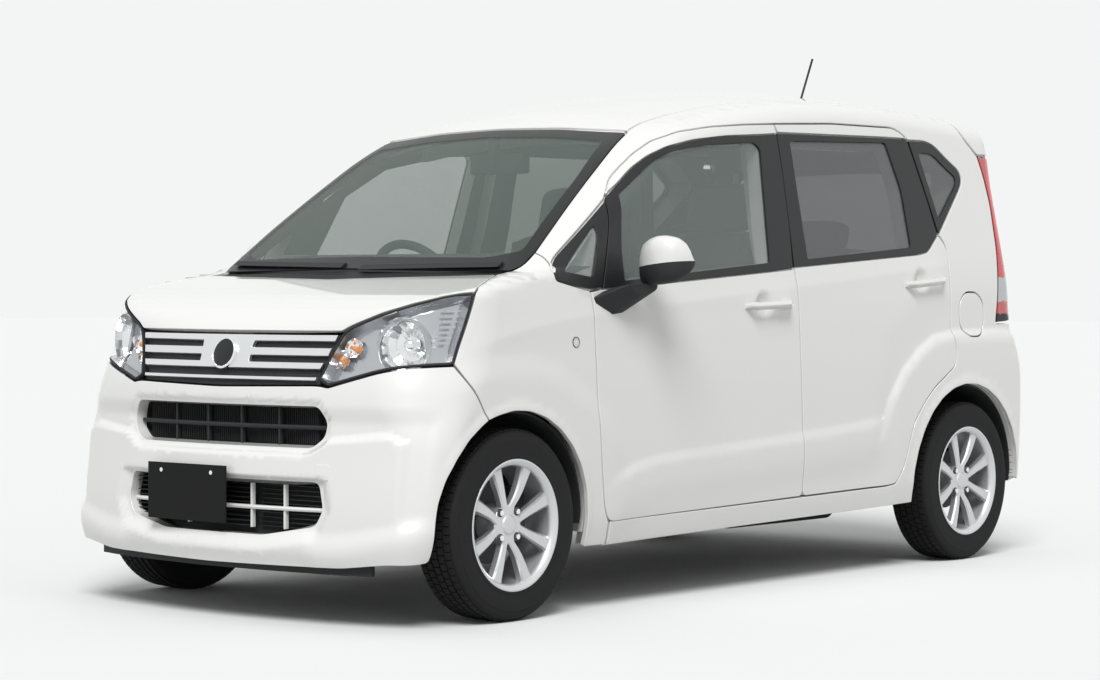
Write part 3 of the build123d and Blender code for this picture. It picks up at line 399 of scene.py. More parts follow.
class Sheet:
    """Points, directions and faces gathered for one piece."""

    def __init__(self):
        self.points, self.normals, self.faces, self.slots = [], [], [], []

    def add(self, points, normals, faces, slot):
        base = len(self.points)
        self.points.extend(points)
        self.normals.extend(normals)
        self.faces.extend([tuple(base + i for i in face) for face in faces])
        self.slots.extend([slot] * len(faces))
        return base

    def strip(self, first, second, outward, slot):
        """Faces between two closed rings of equal length."""
        count = len(first)
        a = self.add(first, outward, [], slot)
        b = self.add(second, outward, [], slot)
        self.quads(a, b, count, outward, slot)
        return a, b

    def quads(self, a, b, count, outward, slot):
        for i in range(count):
            j = (i + 1) % count
            corners = [self.points[k] for k in (a + i, a + j, b + j, b + i)]
            normal = np.cross(corners[2] - corners[0], corners[3] - corners[1])
            face = (a + i, a + j, b + j, b + i)
            if np.dot(normal, outward[i]) < 0:
                face = face[::-1]
            self.faces.append(face)
            self.slots.append(slot)

    def fan(self, ring, normal, slot):
        """Close a flat ring with one face."""
        base = self.add(ring, [normal] * len(ring), [], slot)
        face = tuple(range(base, base + len(ring)))
        corners = np.array(ring)
        area = sum(np.cross(corners[i] - corners[0], corners[i + 1] - corners[0])
                   for i in range(1, len(ring) - 1))
        self.faces.append(face if np.dot(area, normal) > 0 else face[::-1])
        self.slots.append(slot)


def inward(loop, view, hole):
    """Directions along the body from a loop into its panel."""
    tangents = np.roll(loop, -1, axis=0) - np.roll(loop, 1, axis=0)
    tangents /= np.maximum(np.linalg.norm(tangents, axis=1), 1e-9)[:, None]
    sideways = np.cross(gradient(loop), tangents)
    flat = view.flat(loop)
    enters = inside(view.flat(loop + sideways * 4.0), flat).mean() > 0.5
    return sideways if enters != hole else -sideways


def fill(view, rings, pitch, folds=()):
    """Triangles on the body inside the first ring and outside the rest."""
    flats = [view.flat(ring) for ring in rings]
    low, high = flats[0].min(axis=0), flats[0].max(axis=0)
    step = pitch * 0.62
    xs, ys = np.meshgrid(np.arange(low[0], high[0], step), np.arange(low[1], high[1], step), indexing="ij")
    grid = np.stack([xs.ravel(), ys.ravel()], 1)
    grid[1::2] += step * 0.13

    def within(points):
        result = inside(points, flats[0])
        for hole in flats[1:]:
            result &= ~inside(points, hole)
        return result

    lifted = view.lift(grid[within(grid)])
    if folds:
        extra = []
        for fold in folds:
            path = np.array(fold, float)
            for a, b in zip(path[:-1], path[1:]):
                length = np.linalg.norm(b - a)
                across = np.array([-(b - a)[1], (b - a)[0]]) / length
                for t in np.arange(0, length, 11.0):
                    extra += [a + (b - a) * t / length + across * s for s in (-13.0, -4.5, 4.5, 13.0)]
        raised = VIEWS["S"].lift(np.array(extra))
        raised = raised[within(view.flat(raised))]
        lifted = np.vstack([raised, lifted])
    order = {}
    for index, cell in enumerate(map(tuple, np.floor(lifted / pitch).astype(int))):
        order.setdefault(cell, []).append(index)
    taken = len(raised) if folds else 0
    chosen = [i for members in order.values() for i in ([m for m in members if m < taken] or members[:1])]
    lifted = lifted[sorted(chosen)]
    edge = np.vstack(rings)
    far = np.ones(len(lifted), bool)
    for start in range(0, len(lifted), 500):
        gaps = np.linalg.norm(lifted[start:start + 500, None] - edge[None], axis=2).min(axis=1)
        far[start:start + 500] = gaps > min(6.0, pitch * 0.45)
    lifted = lifted[far]
    points = np.vstack([edge, lifted])
    flat = np.vstack(flats + [view.flat(lifted)])
    edges, base = [], 0
    for ring in rings:
        edges += [(base + i, base + (i + 1) % len(ring)) for i in range(len(ring))]
        base += len(ring)
    found = delaunay_2d_cdt([Vector(p) for p in flat], edges, [], 1, 1e-5)
    new_flat, triangles, sources = np.array([tuple(v) for v in found[0]]), np.array(found[2]), found[3]
    result = np.zeros((len(new_flat), 3))
    fresh = [i for i, source in enumerate(sources) if not source]
    for i, source in enumerate(sources):
        if source:
            result[i] = points[source[0]]
    if fresh:
        result[fresh] = view.lift(new_flat[fresh])
    centres = new_flat[triangles].mean(axis=1)
    triangles = triangles[within(centres)]
    corners = result[triangles]
    facing = np.cross(corners[:, 1] - corners[:, 0], corners[:, 2] - corners[:, 0])
    away = gradient(corners.mean(axis=1))
    flip = (facing * away).sum(axis=1) < 0
    triangles[flip] = triangles[flip][:, ::-1]
    used = np.unique(triangles)
    remap = np.full(len(result), -1)
    remap[used] = np.arange(len(used))
    return result[used], remap[triangles]


def plate(sheet, view, loops, gap=3.0, radius=2.2, flange=14.0, depth=0.0, pitch=16.0, slot=0, folds=()):
    """A panel on the body with rolled edges, turned in by its flange."""
    rings = []
    for index, loop in enumerate(loops):
        aside = inward(loop, view, index > 0)
        inner = settle(loop + aside * (gap + radius))
        middle = settle(loop + aside * (gap + radius * 0.3))
        outer = settle(loop + aside * gap)
        up_inner, up_middle, up_outer = gradient(inner), gradient(middle), gradient(outer)
        rings.append(inner)
        lean = up_middle * 0.7 - aside * 0.7
        a = sheet.add(inner - up_inner * depth, up_inner, [], slot)
        b = sheet.add(middle - up_middle * (depth + radius * 0.3), lean, [], slot)
        c = sheet.add(outer - up_outer * (depth + radius), -aside, [], slot)
        d = sheet.add(outer - up_outer * (depth + flange), -aside, [], slot)
        count = len(loop)
        sheet.quads(a, b, count, up_inner, slot)
        sheet.quads(b, c, count, lean, slot)
        sheet.quads(c, d, count, -aside, slot)
    points, triangles = fill(view, rings, pitch, folds)
    normals = gradient(points)
    sheet.add(points - normals * depth, normals, [tuple(int(i) for i in t) for t in triangles], slot)


def back(sheet, view, loops, depth, inset, pitch=40.0, slot=0):
    """The inner face of a thick panel, at a depth below the body."""
    rings = []
    for index, loop in enumerate(loops):
        aside = inward(loop, view, index > 0)
        rings.append(settle(loop + aside * inset))
    points, triangles = fill(view, rings, pitch)
    normals = gradient(points)
    sheet.add(points - normals * depth, -normals, [tuple(int(i) for i in t[::-1]) for t in triangles], slot)


def wall(sheet, view, loop, hole, start, end, slot=0):
    """A wall below a loop, between (inset, depth) at its top and bottom."""
    aside = inward(loop, view, hole)
    rings = []
    for inset, depth in (start, end):
        ring = settle(loop + aside * inset)
        rings.append(ring - gradient(ring) * depth)
    sheet.strip(rings[0], rings[1], -aside, slot)


def piece(name, sheet, materials, body, replaces=(), right=False, shift=(0, 0, 0)):
    """A mesh object from a sheet; right makes its mirror image across the car."""
    points = (np.array(sheet.points) + np.array(shift, float)) * MM
    normals = np.array(sheet.normals)
    faces = sheet.faces
    if right:
        points, normals = points * (1, -1, 1), normals * (1, -1, 1)
        faces = [face[::-1] for face in faces]
    mesh = bpy.data.meshes.new(name)
    mesh.from_pydata(points.tolist(), [], faces)
    for material in materials:
        mesh.materials.append(material)
    mesh.polygons.foreach_set("material_index", sheet.slots)
    mesh.polygons.foreach_set("use_smooth", [True] * len(faces))
    lengths = np.maximum(np.linalg.norm(normals, axis=1), 1e-9)[:, None]
    mesh.normals_split_custom_set_from_vertices((normals / lengths).tolist())
    return adopt(name, mesh, body, replaces)


def adopt(name, mesh, body, replaces=()):
    """Link a finished mesh and hand it to the frame."""
    obj = bpy.data.objects.new(name, mesh)
    bpy.context.scene.collection.objects.link(obj)
    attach(obj, body)
    if replaces:
        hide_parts(*replaces)
    return obj


# ---- Outlines -----------------------------------------------------------------------------
def arc(circle, start, end, count):
    """Knots on a wheel arch, seen from the side."""
    cx, cz, radius = circle
    angles = [math.radians(start + (end - start) * i / (count - 1)) for i in range(count)]
    return [("S", cx + radius * math.cos(a), cz + radius * math.sin(a)) for a in angles]


def side(*points):
    return [("S",) + point for point in points]


DOOR_TOP_FRONT = side((-84, 1478), (90, 1464), (256, 1441), (373, 1409), (463, 1367), (536, 1324), (594, 1287))
DOOR_FRONT = side((820, 890), (814, 733), (809, 587), (791, 414), (772, 300))
PILLAR_LINE = side((-250, 497), (-240, 700), (-237, 944))
PILLAR_TOP = side((-248, 1154), (-261, 1316))
REAR_TOP = side((-595, 1503), (-967, 1505), (-1019, 1488))
REAR_EDGE = side((-1182, 1096), (-1171, 989), (-1158, 817), (-1175, 737), (-1166, 684), (-1108, 652),
                 (-1035, 614), (-962, 557), (-903, 494), (-874, 417), (-849, 346))
FRONT_FRAME = side((-183, 1449), (21, 1436), (201, 1417), (338, 1391), (429, 1360), (511, 1319), (594, 1266))
FRONT_BELT = side((549, 963), (-134, 1008))
REAR_BELT = side((-360, 1028), (-996, 1068), (-1056, 1078))

FRONT_DOOR_PANEL = (side((826, 944, 6)) + DOOR_FRONT + side((750, 258, 34), (-264, 278, 22)) + PILLAR_LINE
                    + side((-230, 1015, 4)) + FRONT_BELT[::-1] + side((764, 951, 4)))
FRONT_DOOR_HEAD = (side((-265, 1455, 3), (-259, 1488, 8)) + DOOR_TOP_FRONT + side((646, 1238, 3))
                   + FRONT_FRAME[::-1])
FRONT_SASH = (side((765, 952, 4)) + FRONT_BELT + side((-230, 1017, 4)) + PILLAR_TOP + side((-265, 1455, 4))
              + FRONT_FRAME + side((658, 1226, 8)))
FRONT_GLASS = side((655, 978, 8), (649, 1075), (604, 1240, 14), (409, 1350), (295, 1381), (116, 1405),
                   (-131, 1421, 14), (-157, 1400, 10), (-104, 1036, 8), (314, 1004))
REAR_DOOR_PANEL = (side((-237, 1020, 4)) + PILLAR_LINE[::-1]
                   + side((-264, 278, 22), (-740, 286), (-806, 292, 30)) + REAR_EDGE[::-1]
                   + side((-1140, 1136, 4)) + REAR_BELT[::-1])
REAR_DOOR_HEAD = side((-272, 1459, 3), (-259, 1488, 8)) + REAR_TOP + side((-1044, 1469, 3), (-911, 1469))
REAR_SASH = (side((-237, 1021, 4)) + REAR_BELT
             + side((-1139, 1137, 4), (-1110, 1264), (-1048, 1468, 4), (-911, 1468), (-267, 1458, 4))
             + PILLAR_TOP[::-1])
REAR_GLASS = side((-335, 1434, 12), (-906, 1450, 12), (-956, 1291), (-954, 1094, 10), (-323, 1049, 8))
CORNER_SASH = side((661, 1219, 10), (981, 1008, 14), (992, 999, 6), (982, 977, 14), (894, 959), (804, 950, 6),
                   (770, 956, 4))
CORNER_GLASS = side((930, 1004, 8), (806, 988, 8), (750, 1116), (750, 1140, 8))
QUARTER_SASH = side((-1056, 1464, 6), (-1160, 1465), (-1214, 1452), (-1282, 1407), (-1352, 1366, 18),
                    (-1361, 1337, 18), (-1347, 1314), (-1147, 1140, 8), (-1114, 1264))
QUARTER_GLASS = side((-1108, 1424, 16), (-1195, 1420), (-1264, 1376), (-1322, 1343, 14), (-1316, 1318, 14),
                     (-1166, 1196, 14))
SCREEN_EDGE = [("F", 597, 1137), ("F", 569, 1245), ("F", 542, 1348)]
PILLAR_SEAM = [("F", 614, 1058, 4), ("F", 648, 1043), ("F", 694, 1014), ("F", 709, 1001, 4)]
BODY_SIDE = (side((742, 262, 4), (742, 188, 8), (-617, 211), (-890, 219), (-914, 221, 6))
             + arc(REAR_ARCH, -4, 176, 15)
             + side((-1592, 268, 8), (-1654, 262, 12), (-1656, 560), (-1648, 700), (-1594, 828, 6),
                    (-1462, 826, 10), (-1515, 1096), (-1525, 1250), (-1514, 1349), (-1495, 1423, 6),
                    (-1416, 1490), (-1391, 1546))
             + [("T", -1390, 540), ("T", -1390, 490, 6), ("T", 139, 484), ("T", 380, 504, 6),
                ("F", 510, 1438, 6)] + SCREEN_EDGE[::-1] + PILLAR_SEAM + side((981, 1009), (662, 1222, 6))
             + DOOR_TOP_FRONT[::-1] + side((-259, 1488)) + REAR_TOP
             + side((-1052, 1465, 4), (-1160, 1466), (-1214, 1453), (-1282, 1408), (-1353, 1367, 18),
                    (-1362, 1337, 18), (-1348, 1313), (-1146, 1137, 4)) + REAR_EDGE
             + side((-806, 292, 30), (-740, 286), (-264, 278)))
SEAM = side((1310, 580, 4), (1352, 645), (1390, 697), (1413, 741, 6))
FENDER = (side((828, 946, 6)) + DOOR_FRONT + side((749, 262, 6), (746, 190, 6), (853, 190, 8))
          + arc(FRONT_ARCH, 178, 74, 9) + SEAM + side((1366, 842), (1322, 941, 6))
          + [("T", 1200, 645), ("T", 1112, 599, 6), ("F", 600, 1002, 6), ("F", 617, 1020)] + PILLAR_SEAM
          + side((982, 977, 14), (894, 958)))
HEADLAMP = [("F", 368, 696, 8), ("F", 403, 678, 8), ("S", 1412, 740, 12), ("S", 1322, 942, 12), ("F", 629, 920),
            ("F", 548, 890), ("F", 443, 847), ("F", 420, 828, 8), ("F", 394, 775)]
BONNET_HALF = [("T", 1190, 0), ("T", 1110, 598, 6), ("T", 1200, 644), ("T", 1320, 704, 6), ("F", 629, 921),
               ("F", 548, 891), ("F", 443, 848), ("F", 416, 831, 8), ("F", 0, 831)]
GRILLE_HALF = [("F", 0, 827), ("F", 412, 827, 6), ("F", 393, 775), ("F", 357, 706), ("F", 372, 684, 6),
               ("F", 0, 676)]
BUMPER_HALF = ([("F", 0, 672), ("F", 374, 680), ("F", 404, 674, 8), ("S", 1413, 737, 6)] + SEAM[::-1][1:]
               + arc(FRONT_ARCH, 62, 2, 6)
               + [("S", 1512, 230), ("S", 1518, 192, 12), ("F", 634, 185), ("F", 480, 168), ("F", 0, 163)])
SCREEN_HALF = ([("F", 0, 1463), ("F", 250, 1457), ("F", 509, 1437, 12)] + SCREEN_EDGE[::-1]
               + [("F", 613, 1062), ("F", 615, 1020, 8), ("F", 594, 1005, 8), ("F", 0, 1014)])
SCREEN_GLASS_HALF = [("F", 0, 1436), ("F", 250, 1429), ("F", 472, 1410, 20), ("F", 520, 1290), ("F", 560, 1130),
                     ("F", 575, 1064, 24), ("F", 480, 1046), ("F", 0, 1052)]
COWL_HALF = [("F", 0, 1012), ("F", 594, 1003, 4), ("T", 1104, 594, 4), ("T", 1184, 0)]
ROOF_HALF = [("F", 0, 1468), ("F", 250, 1463), ("F", 500, 1446, 8), ("T", 380, 500), ("T", 139, 480),
             ("T", -1390, 486, 6), ("T", -1390, 0)]
TAILGATE_HALF = [("T", -1398, 0), ("T", -1398, 552, 6), ("S", -1421, 1489), ("S", -1499, 1428, 6),
                 ("R", 600, 1426, 6), ("R", 605, 1180), ("R", 604, 655, 26), ("R", 0, 650)]
TAIL_WINDOW_HALF = [("R", 0, 1412), ("R", 540, 1404, 40), ("R", 566, 1060, 46), ("R", 0, 1048)]
TAIL_GLASS_HALF = [("R", 0, 1380), ("R", 500, 1372, 30), ("R", 524, 1092, 34), ("R", 0, 1082)]
REAR_BUMPER_HALF = [("R", 0, 645), ("R", 602, 648, 10), ("R", 611, 828, 6), ("S", -1598, 827, 6),
                    ("S", -1652, 700), ("S", -1660, 560), ("S", -1660, 262, 12), ("R", 620, 236), ("R", 0, 228)]
FUEL_HOLE = side((-1381, 861), (-1379, 905), (-1340, 937), (-1301, 939), (-1262, 937), (-1222, 905),
                 (-1220, 861), (-1222, 817), (-1262, 785), (-1301, 783), (-1340, 785), (-1379, 817))
TAIL_LAMP = (side((-1466, 829, 8), (-1518, 1096), (-1528, 1250), (-1517, 1349), (-1499, 1420, 6))
             + [("R", 606, 1418, 6), ("R", 611, 1180), ("R", 611, 833, 8)])


def whole(half):
    """Both halves of an outline that starts and ends on the centre plane."""
    mirrored = []
    for knot in half[-2:0:-1]:
        if knot[0] == "S":
            mirrored.append(("s",) + tuple(knot[1:]))
        elif knot[0] == "T":
            mirrored.append(("T", knot[1], -knot[2]) + tuple(knot[3:]))
        else:
            mirrored.append((knot[0], -knot[1]) + tuple(knot[2:]))
    return list(half) + mirrored


LINES = {}


def line(knots):
    """The 3-D line of an outline, worked out once."""
    key = tuple(knots)
    if key not in LINES:
        LINES[key] = outline(knots)
    return LINES[key]


def add_mirrored(sheet):
    """Add the same faces on the other side of the car."""
    base = len(sheet.points)
    flip = np.array([1.0, -1.0, 1.0])
    sheet.points.extend([np.array(p) * flip for p in sheet.points])
    sheet.normals.extend([np.array(n) * flip for n in sheet.normals])
    sheet.faces.extend([tuple(base + i for i in face[::-1]) for face in list(sheet.faces)])
    sheet.slots.extend(list(sheet.slots))


def pane(sheet, view, loop, top, thickness, grow, slot=0, pitch=30.0):
    """A glass pane that reaches past its visible edge by grow."""
    aside = inward(loop, view, False)
    ring = settle(loop - aside * grow)
    points, triangles = fill(view, [ring], pitch)
    normals = gradient(points)
    faces = [tuple(int(i) for i in t) for t in triangles]
    sheet.add(points - normals * top, normals, faces, slot)
    sheet.add(points - normals * (top + thickness), -normals, [face[::-1] for face in faces], slot)
    up = gradient(ring)
    sheet.strip(ring - up * top, ring - up * (top + thickness), -aside, slot)


# A face is lining when its direction turns this far from the body's own.
LINED_TURN = -0.35


def core(name, node, body, materials, clearance=8.0):
    """A CAD node's own solid, drawn back under its skin, painted outside and lined towards the cabin."""
    source = bpy.data.objects[node].data
    points = np.empty(len(source.vertices) * 3)
    source.vertices.foreach_get("co", points)
    points = points.reshape(-1, 3) / MM
    value = form(points)
    near = value > -clearance
    seated = settle(points[near])
    points[near] = seated - gradient(seated) * clearance
    mesh = bpy.data.meshes.new(name)
    faces = [tuple(polygon.vertices) for polygon in source.polygons]
    mesh.from_pydata((points * MM).tolist(), [], faces)
    centres, normals = np.empty(len(faces) * 3), np.empty(len(faces) * 3)
    source.polygons.foreach_get("center", centres)
    source.polygons.foreach_get("normal", normals)
    outward = gradient(centres.reshape(-1, 3) / MM)
    lined = (normals.reshape(-1, 3) * outward).sum(1) < LINED_TURN
    mesh.polygons.foreach_set("material_index", lined.astype(int).tolist())
    shape = bmesh.new()
    shape.from_mesh(mesh)
    bmesh.ops.remove_doubles(shape, verts=shape.verts, dist=0.00002)
    bmesh.ops.dissolve_degenerate(shape, edges=shape.edges, dist=0.00001)
    shape.to_mesh(mesh)
    shape.free()
    for material in materials:
        mesh.materials.append(material)
    mesh.shade_smooth()
    mesh.set_sharp_from_angle(angle=math.radians(32))
    return adopt(name, mesh, body)


def sweep(sheet, path, frames, section, slot):
    """Carry a closed section along a path; frames give (out, up) at each point."""
    rings, outs = [], []
    centre = np.mean(np.array(section, float), axis=0)
    for point, (out, up) in zip(path, frames):
        rings.append([point + out * a + up * b for a, b in section])
        outs.append([(out * (a - centre[0]) + up * (b - centre[1])) for a, b in section])
    count = len(section)
    for i in range(count):
        j = (i + 1) % count
        a = np.array([ring[i] for ring in rings])
        b = np.array([ring[j] for ring in rings])
        outward = np.array([(outs[k][i] + outs[k][j]) for k in range(len(path))])
        outward /= np.maximum(np.linalg.norm(outward, axis=1), 1e-9)[:, None]
        base_a = sheet.add(list(a), list(outward), [], slot)
        base_b = sheet.add(list(b), list(outward), [], slot)
        for k in range(len(path) - 1):
            face = (base_a + k, base_a + k + 1, base_b + k + 1, base_b + k)
            corners = [sheet.points[f] for f in face]
            normal = np.cross(corners[2] - corners[0], corners[3] - corners[1])
            sheet.faces.append(face if np.dot(normal, outward[k]) > 0 else face[::-1])
            sheet.slots.append(slot)
    for ring, end, before in ((rings[0], path[0], path[1]), (rings[-1], path[-1], path[-2])):
        sheet.fan([np.array(p) for p in ring], (end - before) / np.linalg.norm(end - before), slot)


def turned(sheet, profile, centre, axis, slot, segments=64):
    """A surface turned round an axis from (along, radius) rows, smooth within each run.

    A row given as None breaks the smooth shading between the rows beside it."""
    axis = np.array(axis, float) / np.linalg.norm(axis)
    side_a = np.cross(axis, [0.0, 0.0, 1.0] if abs(axis[2]) < 0.9 else [1.0, 0.0, 0.0])
    side_a /= np.linalg.norm(side_a)
    side_b = np.cross(axis, side_a)
    angles = [2 * math.pi * i / segments for i in range(segments)]
    spokes = [side_a * math.cos(a) + side_b * math.sin(a) for a in angles]
    runs, run = [], []
    for row in profile:
        if row is None:
            runs.append(run)
            run = [run[-1]]
        else:
            run.append(row)
    runs.append(run)
    for run in runs:
        rows = np.array(run, float)
        slopes = np.gradient(rows, axis=0) if len(rows) > 1 else rows
        normals = []
        for along, radial in slopes:
            length = max(math.hypot(along, radial), 1e-9)
            normals.append((-radial / length, along / length))
        base = []
        for (along, radius), (n_along, n_radial) in zip(rows, normals):
            if radius == 0:
                base.append(sheet.add([np.array(centre) + axis * along],
                                      [axis * (1.0 if n_along >= 0 else -1.0)], [], slot))
                continue
            points = [np.array(centre) + axis * along + spoke * radius for spoke in spokes]
            outs = [axis * n_along + spoke * n_radial for spoke in spokes]
            base.append(sheet.add(points, outs, [], slot))
        for k in range(len(rows) - 1):
            for i in range(segments):
                j = (i + 1) % segments
                if rows[k + 1][1] == 0:
                    face = (base[k] + i, base[k] + j, base[k + 1])
                elif rows[k][1] == 0:
                    face = (base[k], base[k + 1] + j, base[k + 1] + i)
                else:
                    face = (base[k] + i, base[k] + j, base[k + 1] + j, base[k + 1] + i)
                corners = [sheet.points[f] for f in face]
                normal = np.cross(corners[1] - corners[0], corners[-1] - corners[0])
                outward = sum(sheet.normals[f] for f in face)
                sheet.faces.append(face if np.dot(normal, outward) > 0 else face[::-1])
                sheet.slots.append(slot)


# ---- Solid pieces -------------------------------------------------------------------------
def weigh_normals(mesh, angle=40.0):
    """Corner normals weighted by face area, so flats stay flat beside rounded edges."""
    count = len(mesh.polygons)
    normals, areas = np.empty(count * 3), np.empty(count)
    mesh.polygons.foreach_get("normal", normals)
    mesh.polygons.foreach_get("area", areas)
    normals = normals.reshape(-1, 3)
    around = [[] for _ in mesh.vertices]
    for polygon in mesh.polygons:
        for vertex in polygon.vertices:
            around[vertex].append(polygon.index)
    around = [np.array(near) for near in around]
    limit = math.cos(math.radians(angle))
    result = []
    for polygon in mesh.polygons:
        own = normals[polygon.index]
        for vertex in polygon.vertices:
            near = around[vertex]
            alike = near[normals[near] @ own > limit]
            total = (normals[alike] * areas[alike, None]).sum(axis=0)
            length = np.linalg.norm(total)
            result.append(tuple(total / length) if length > 0 else tuple(own))
    mesh.normals_split_custom_set(result)


class Block:
    """Hard-edged solids gathered in one mesh, each with its edges rounded."""

    def __init__(self):
        self.shape = bmesh.new()

    def take(self, part, radius, slot, segments=2):
        """Round a solid's edges, face it outwards and add it."""
        bmesh.ops.remove_doubles(part, verts=part.verts, dist=1e-6)
        bmesh.ops.recalc_face_normals(part, faces=part.faces)
        if radius:
            sharp = [e for e in part.edges if len(e.link_faces) == 2
                     and e.calc_face_angle(0) > math.radians(24)]
            bmesh.ops.bevel(part, geom=sharp, offset=radius * MM, offset_type="OFFSET", segments=segments,
                            profile=0.5, affect="EDGES", clamp_overlap=True)
        for face in part.faces:
            face.material_index = slot
            face.smooth = True
        mesh = bpy.data.meshes.new("part")
        part.to_mesh(mesh)
        part.free()
        self.shape.from_mesh(mesh)
        bpy.data.meshes.remove(mesh)

    def prism(self, loop, place, near, far, radius=0.0, slot=0, segments=2):
        """A flat loop of (u, v) pushed from near to far; place(u, v, w) gives its point."""
        part = bmesh.new()
        rings = [[part.verts.new(Vector(place(u, v, w)) * MM) for u, v in loop] for w in (near, far)]
        part.faces.new(rings[0])
        part.faces.new(rings[1][::-1])
        for i in range(len(loop)):
            j = (i + 1) % len(loop)
            part.faces.new((rings[0][i], rings[0][j], rings[1][j], rings[1][i]))
        self.take(part, radius, slot, segments)

    def box(self, low, high, radius=0.0, slot=0, segments=2):
        loop = [(low[0], low[1]), (high[0], low[1]), (high[0], high[1]), (low[0], high[1])]
        self.prism(loop, lambda u, v, w: (u, v, w), low[2], high[2], radius, slot, segments)

    def rod(self, start, end, radius, edge=0.0, slot=0, sides=32):
        """A round bar between two points."""
        start, end = Vector(start), Vector(end)
        turn = (end - start).to_track_quat("Z", "Y")
        ring = [(radius * math.cos(2 * math.pi * i / sides), radius * math.sin(2 * math.pi * i / sides))
                for i in range(sides)]
        self.prism(ring, lambda u, v, w: start + turn @ Vector((u, v, w)), 0.0, (end - start).length, edge,
                   slot)

    def hull(self, points, radius=0.0, slot=0, segments=2):
        """The tight skin round some points."""
        part = bmesh.new()
        for point in points:
            part.verts.new(Vector(point) * MM)
        found = bmesh.ops.convex_hull(part, input=part.verts)
        loose = [v for v in found["geom_interior"] if isinstance(v, bmesh.types.BMVert)]
        bmesh.ops.delete(part, geom=loose, context="VERTS")
        bmesh.ops.dissolve_limit(part, angle_limit=math.radians(2), verts=part.verts, edges=part.edges)
        self.take(part, radius, slot, segments)

    def add(self, mesh, slot=0):
        """Add a plain mesh, such as an array's result."""
        before = len(self.shape.faces)
        self.shape.from_mesh(mesh)
        self.shape.faces.ensure_lookup_table()
        for face in self.shape.faces[before:]:
            face.material_index = slot
            face.smooth = True
        bpy.data.meshes.remove(mesh)

    def piece(self, name, materials, body, slot, replaces=(), right=False, shift=(0, 0, 0), both=False):
        """A mesh object; right mirrors it across the car, both gives the two sides."""
        mesh = bpy.data.meshes.new(name)
        shape = self.shape.copy()
        bmesh.ops.translate(shape, verts=shape.verts, vec=Vector(shift) * MM)
        if both or right:
            twin = shape.copy()
            bmesh.ops.scale(twin, verts=twin.verts, vec=(1, -1, 1))
            bmesh.ops.reverse_faces(twin, faces=twin.faces)
            if both:
                spare = bpy.data.meshes.new("twin")
                twin.to_mesh(spare)
                shape.from_mesh(spare)
                bpy.data.meshes.remove(spare)
                twin.free()
            else:
                shape.free()
                shape = twin
        shape.to_mesh(mesh)
        shape.free()
        for material in materials:
            mesh.materials.append(material)
        weigh_normals(mesh)
        return adopt(name, mesh, body, replaces)


# ---- Arrays -------------------------------------------------------------------------------
def array_tree(layout, item):
    """A Geometry Nodes tree that repeats a bar or a stud round a ring or along a row."""
    name = f"{item}s_in_a_{layout}"
    if name in bpy.data.node_groups:
        return bpy.data.node_groups[name]
    tree = bpy.data.node_groups.new(name, "GeometryNodeTree")
    tree.interface.new_socket(name="Geometry", in_out="OUTPUT", socket_type="NodeSocketGeometry")
    for label, kind in (("Count", "Int"), ("Start", "Vector"), ("End", "Vector"), ("Radius", "Float"),
                        ("Size", "Vector"), ("Turn", "Vector"), ("Sides", "Int"), ("Finish", "Material")):
        tree.interface.new_socket(name=label, in_out="INPUT", socket_type=f"NodeSocket{kind}")
    nodes, links = tree.nodes, tree.links
    given, result = nodes.new("NodeGroupInput"), nodes.new("NodeGroupOutput")
    if item == "bar":
        shape = nodes.new("GeometryNodeMeshCube")
        links.new(given.outputs["Size"], shape.inputs["Size"])
    else:
        shape = nodes.new("GeometryNodeMeshCylinder")
        split = nodes.new("ShaderNodeSeparateXYZ")
        links.new(given.outputs["Size"], split.inputs[0])
        links.new(split.outputs["X"], shape.inputs["Radius"])
        links.new(split.outputs["Z"], shape.inputs["Depth"])
        links.new(given.outputs["Sides"], shape.inputs["Vertices"])
    scatter = nodes.new("GeometryNodeInstanceOnPoints")
    links.new(shape.outputs["Mesh"], scatter.inputs["Instance"])
    if layout == "ring":
        points = nodes.new("GeometryNodeMeshCircle")
        links.new(given.outputs["Count"], points.inputs["Vertices"])
        links.new(given.outputs["Radius"], points.inputs["Radius"])
        aim = nodes.new("FunctionNodeAlignRotationToVector")
        aim.axis = "X"
        links.new(nodes.new("GeometryNodeInputPosition").outputs[0], aim.inputs["Vector"])
        links.new(aim.outputs[0], scatter.inputs["Rotation"])
        place = nodes.new("GeometryNodeTransform")
        links.new(scatter.outputs[0], place.inputs["Geometry"])
        links.new(given.outputs["Turn"], place.inputs["Rotation"])
        links.new(given.outputs["Start"], place.inputs["Translation"])
        last = place.outputs[0]
    else:
        points = nodes.new("GeometryNodeMeshLine")
        points.mode, points.count_mode = "END_POINTS", "TOTAL"
        links.new(given.outputs["Count"], points.inputs["Count"])
        links.new(given.outputs["Start"], points.inputs["Start Location"])
        links.new(given.outputs["End"], points.inputs["Offset"])
        links.new(given.outputs["Turn"], scatter.inputs["Rotation"])
        last = scatter.outputs[0]
    links.new(points.outputs["Mesh"], scatter.inputs["Points"])
    real, dress = nodes.new("GeometryNodeRealizeInstances"), nodes.new("GeometryNodeSetMaterial")
    links.new(last, real.inputs[0])
    links.new(real.outputs[0], dress.inputs["Geometry"])
    links.new(given.outputs["Finish"], dress.inputs["Material"])
    links.new(dress.outputs[0], result.inputs[0])
    return tree


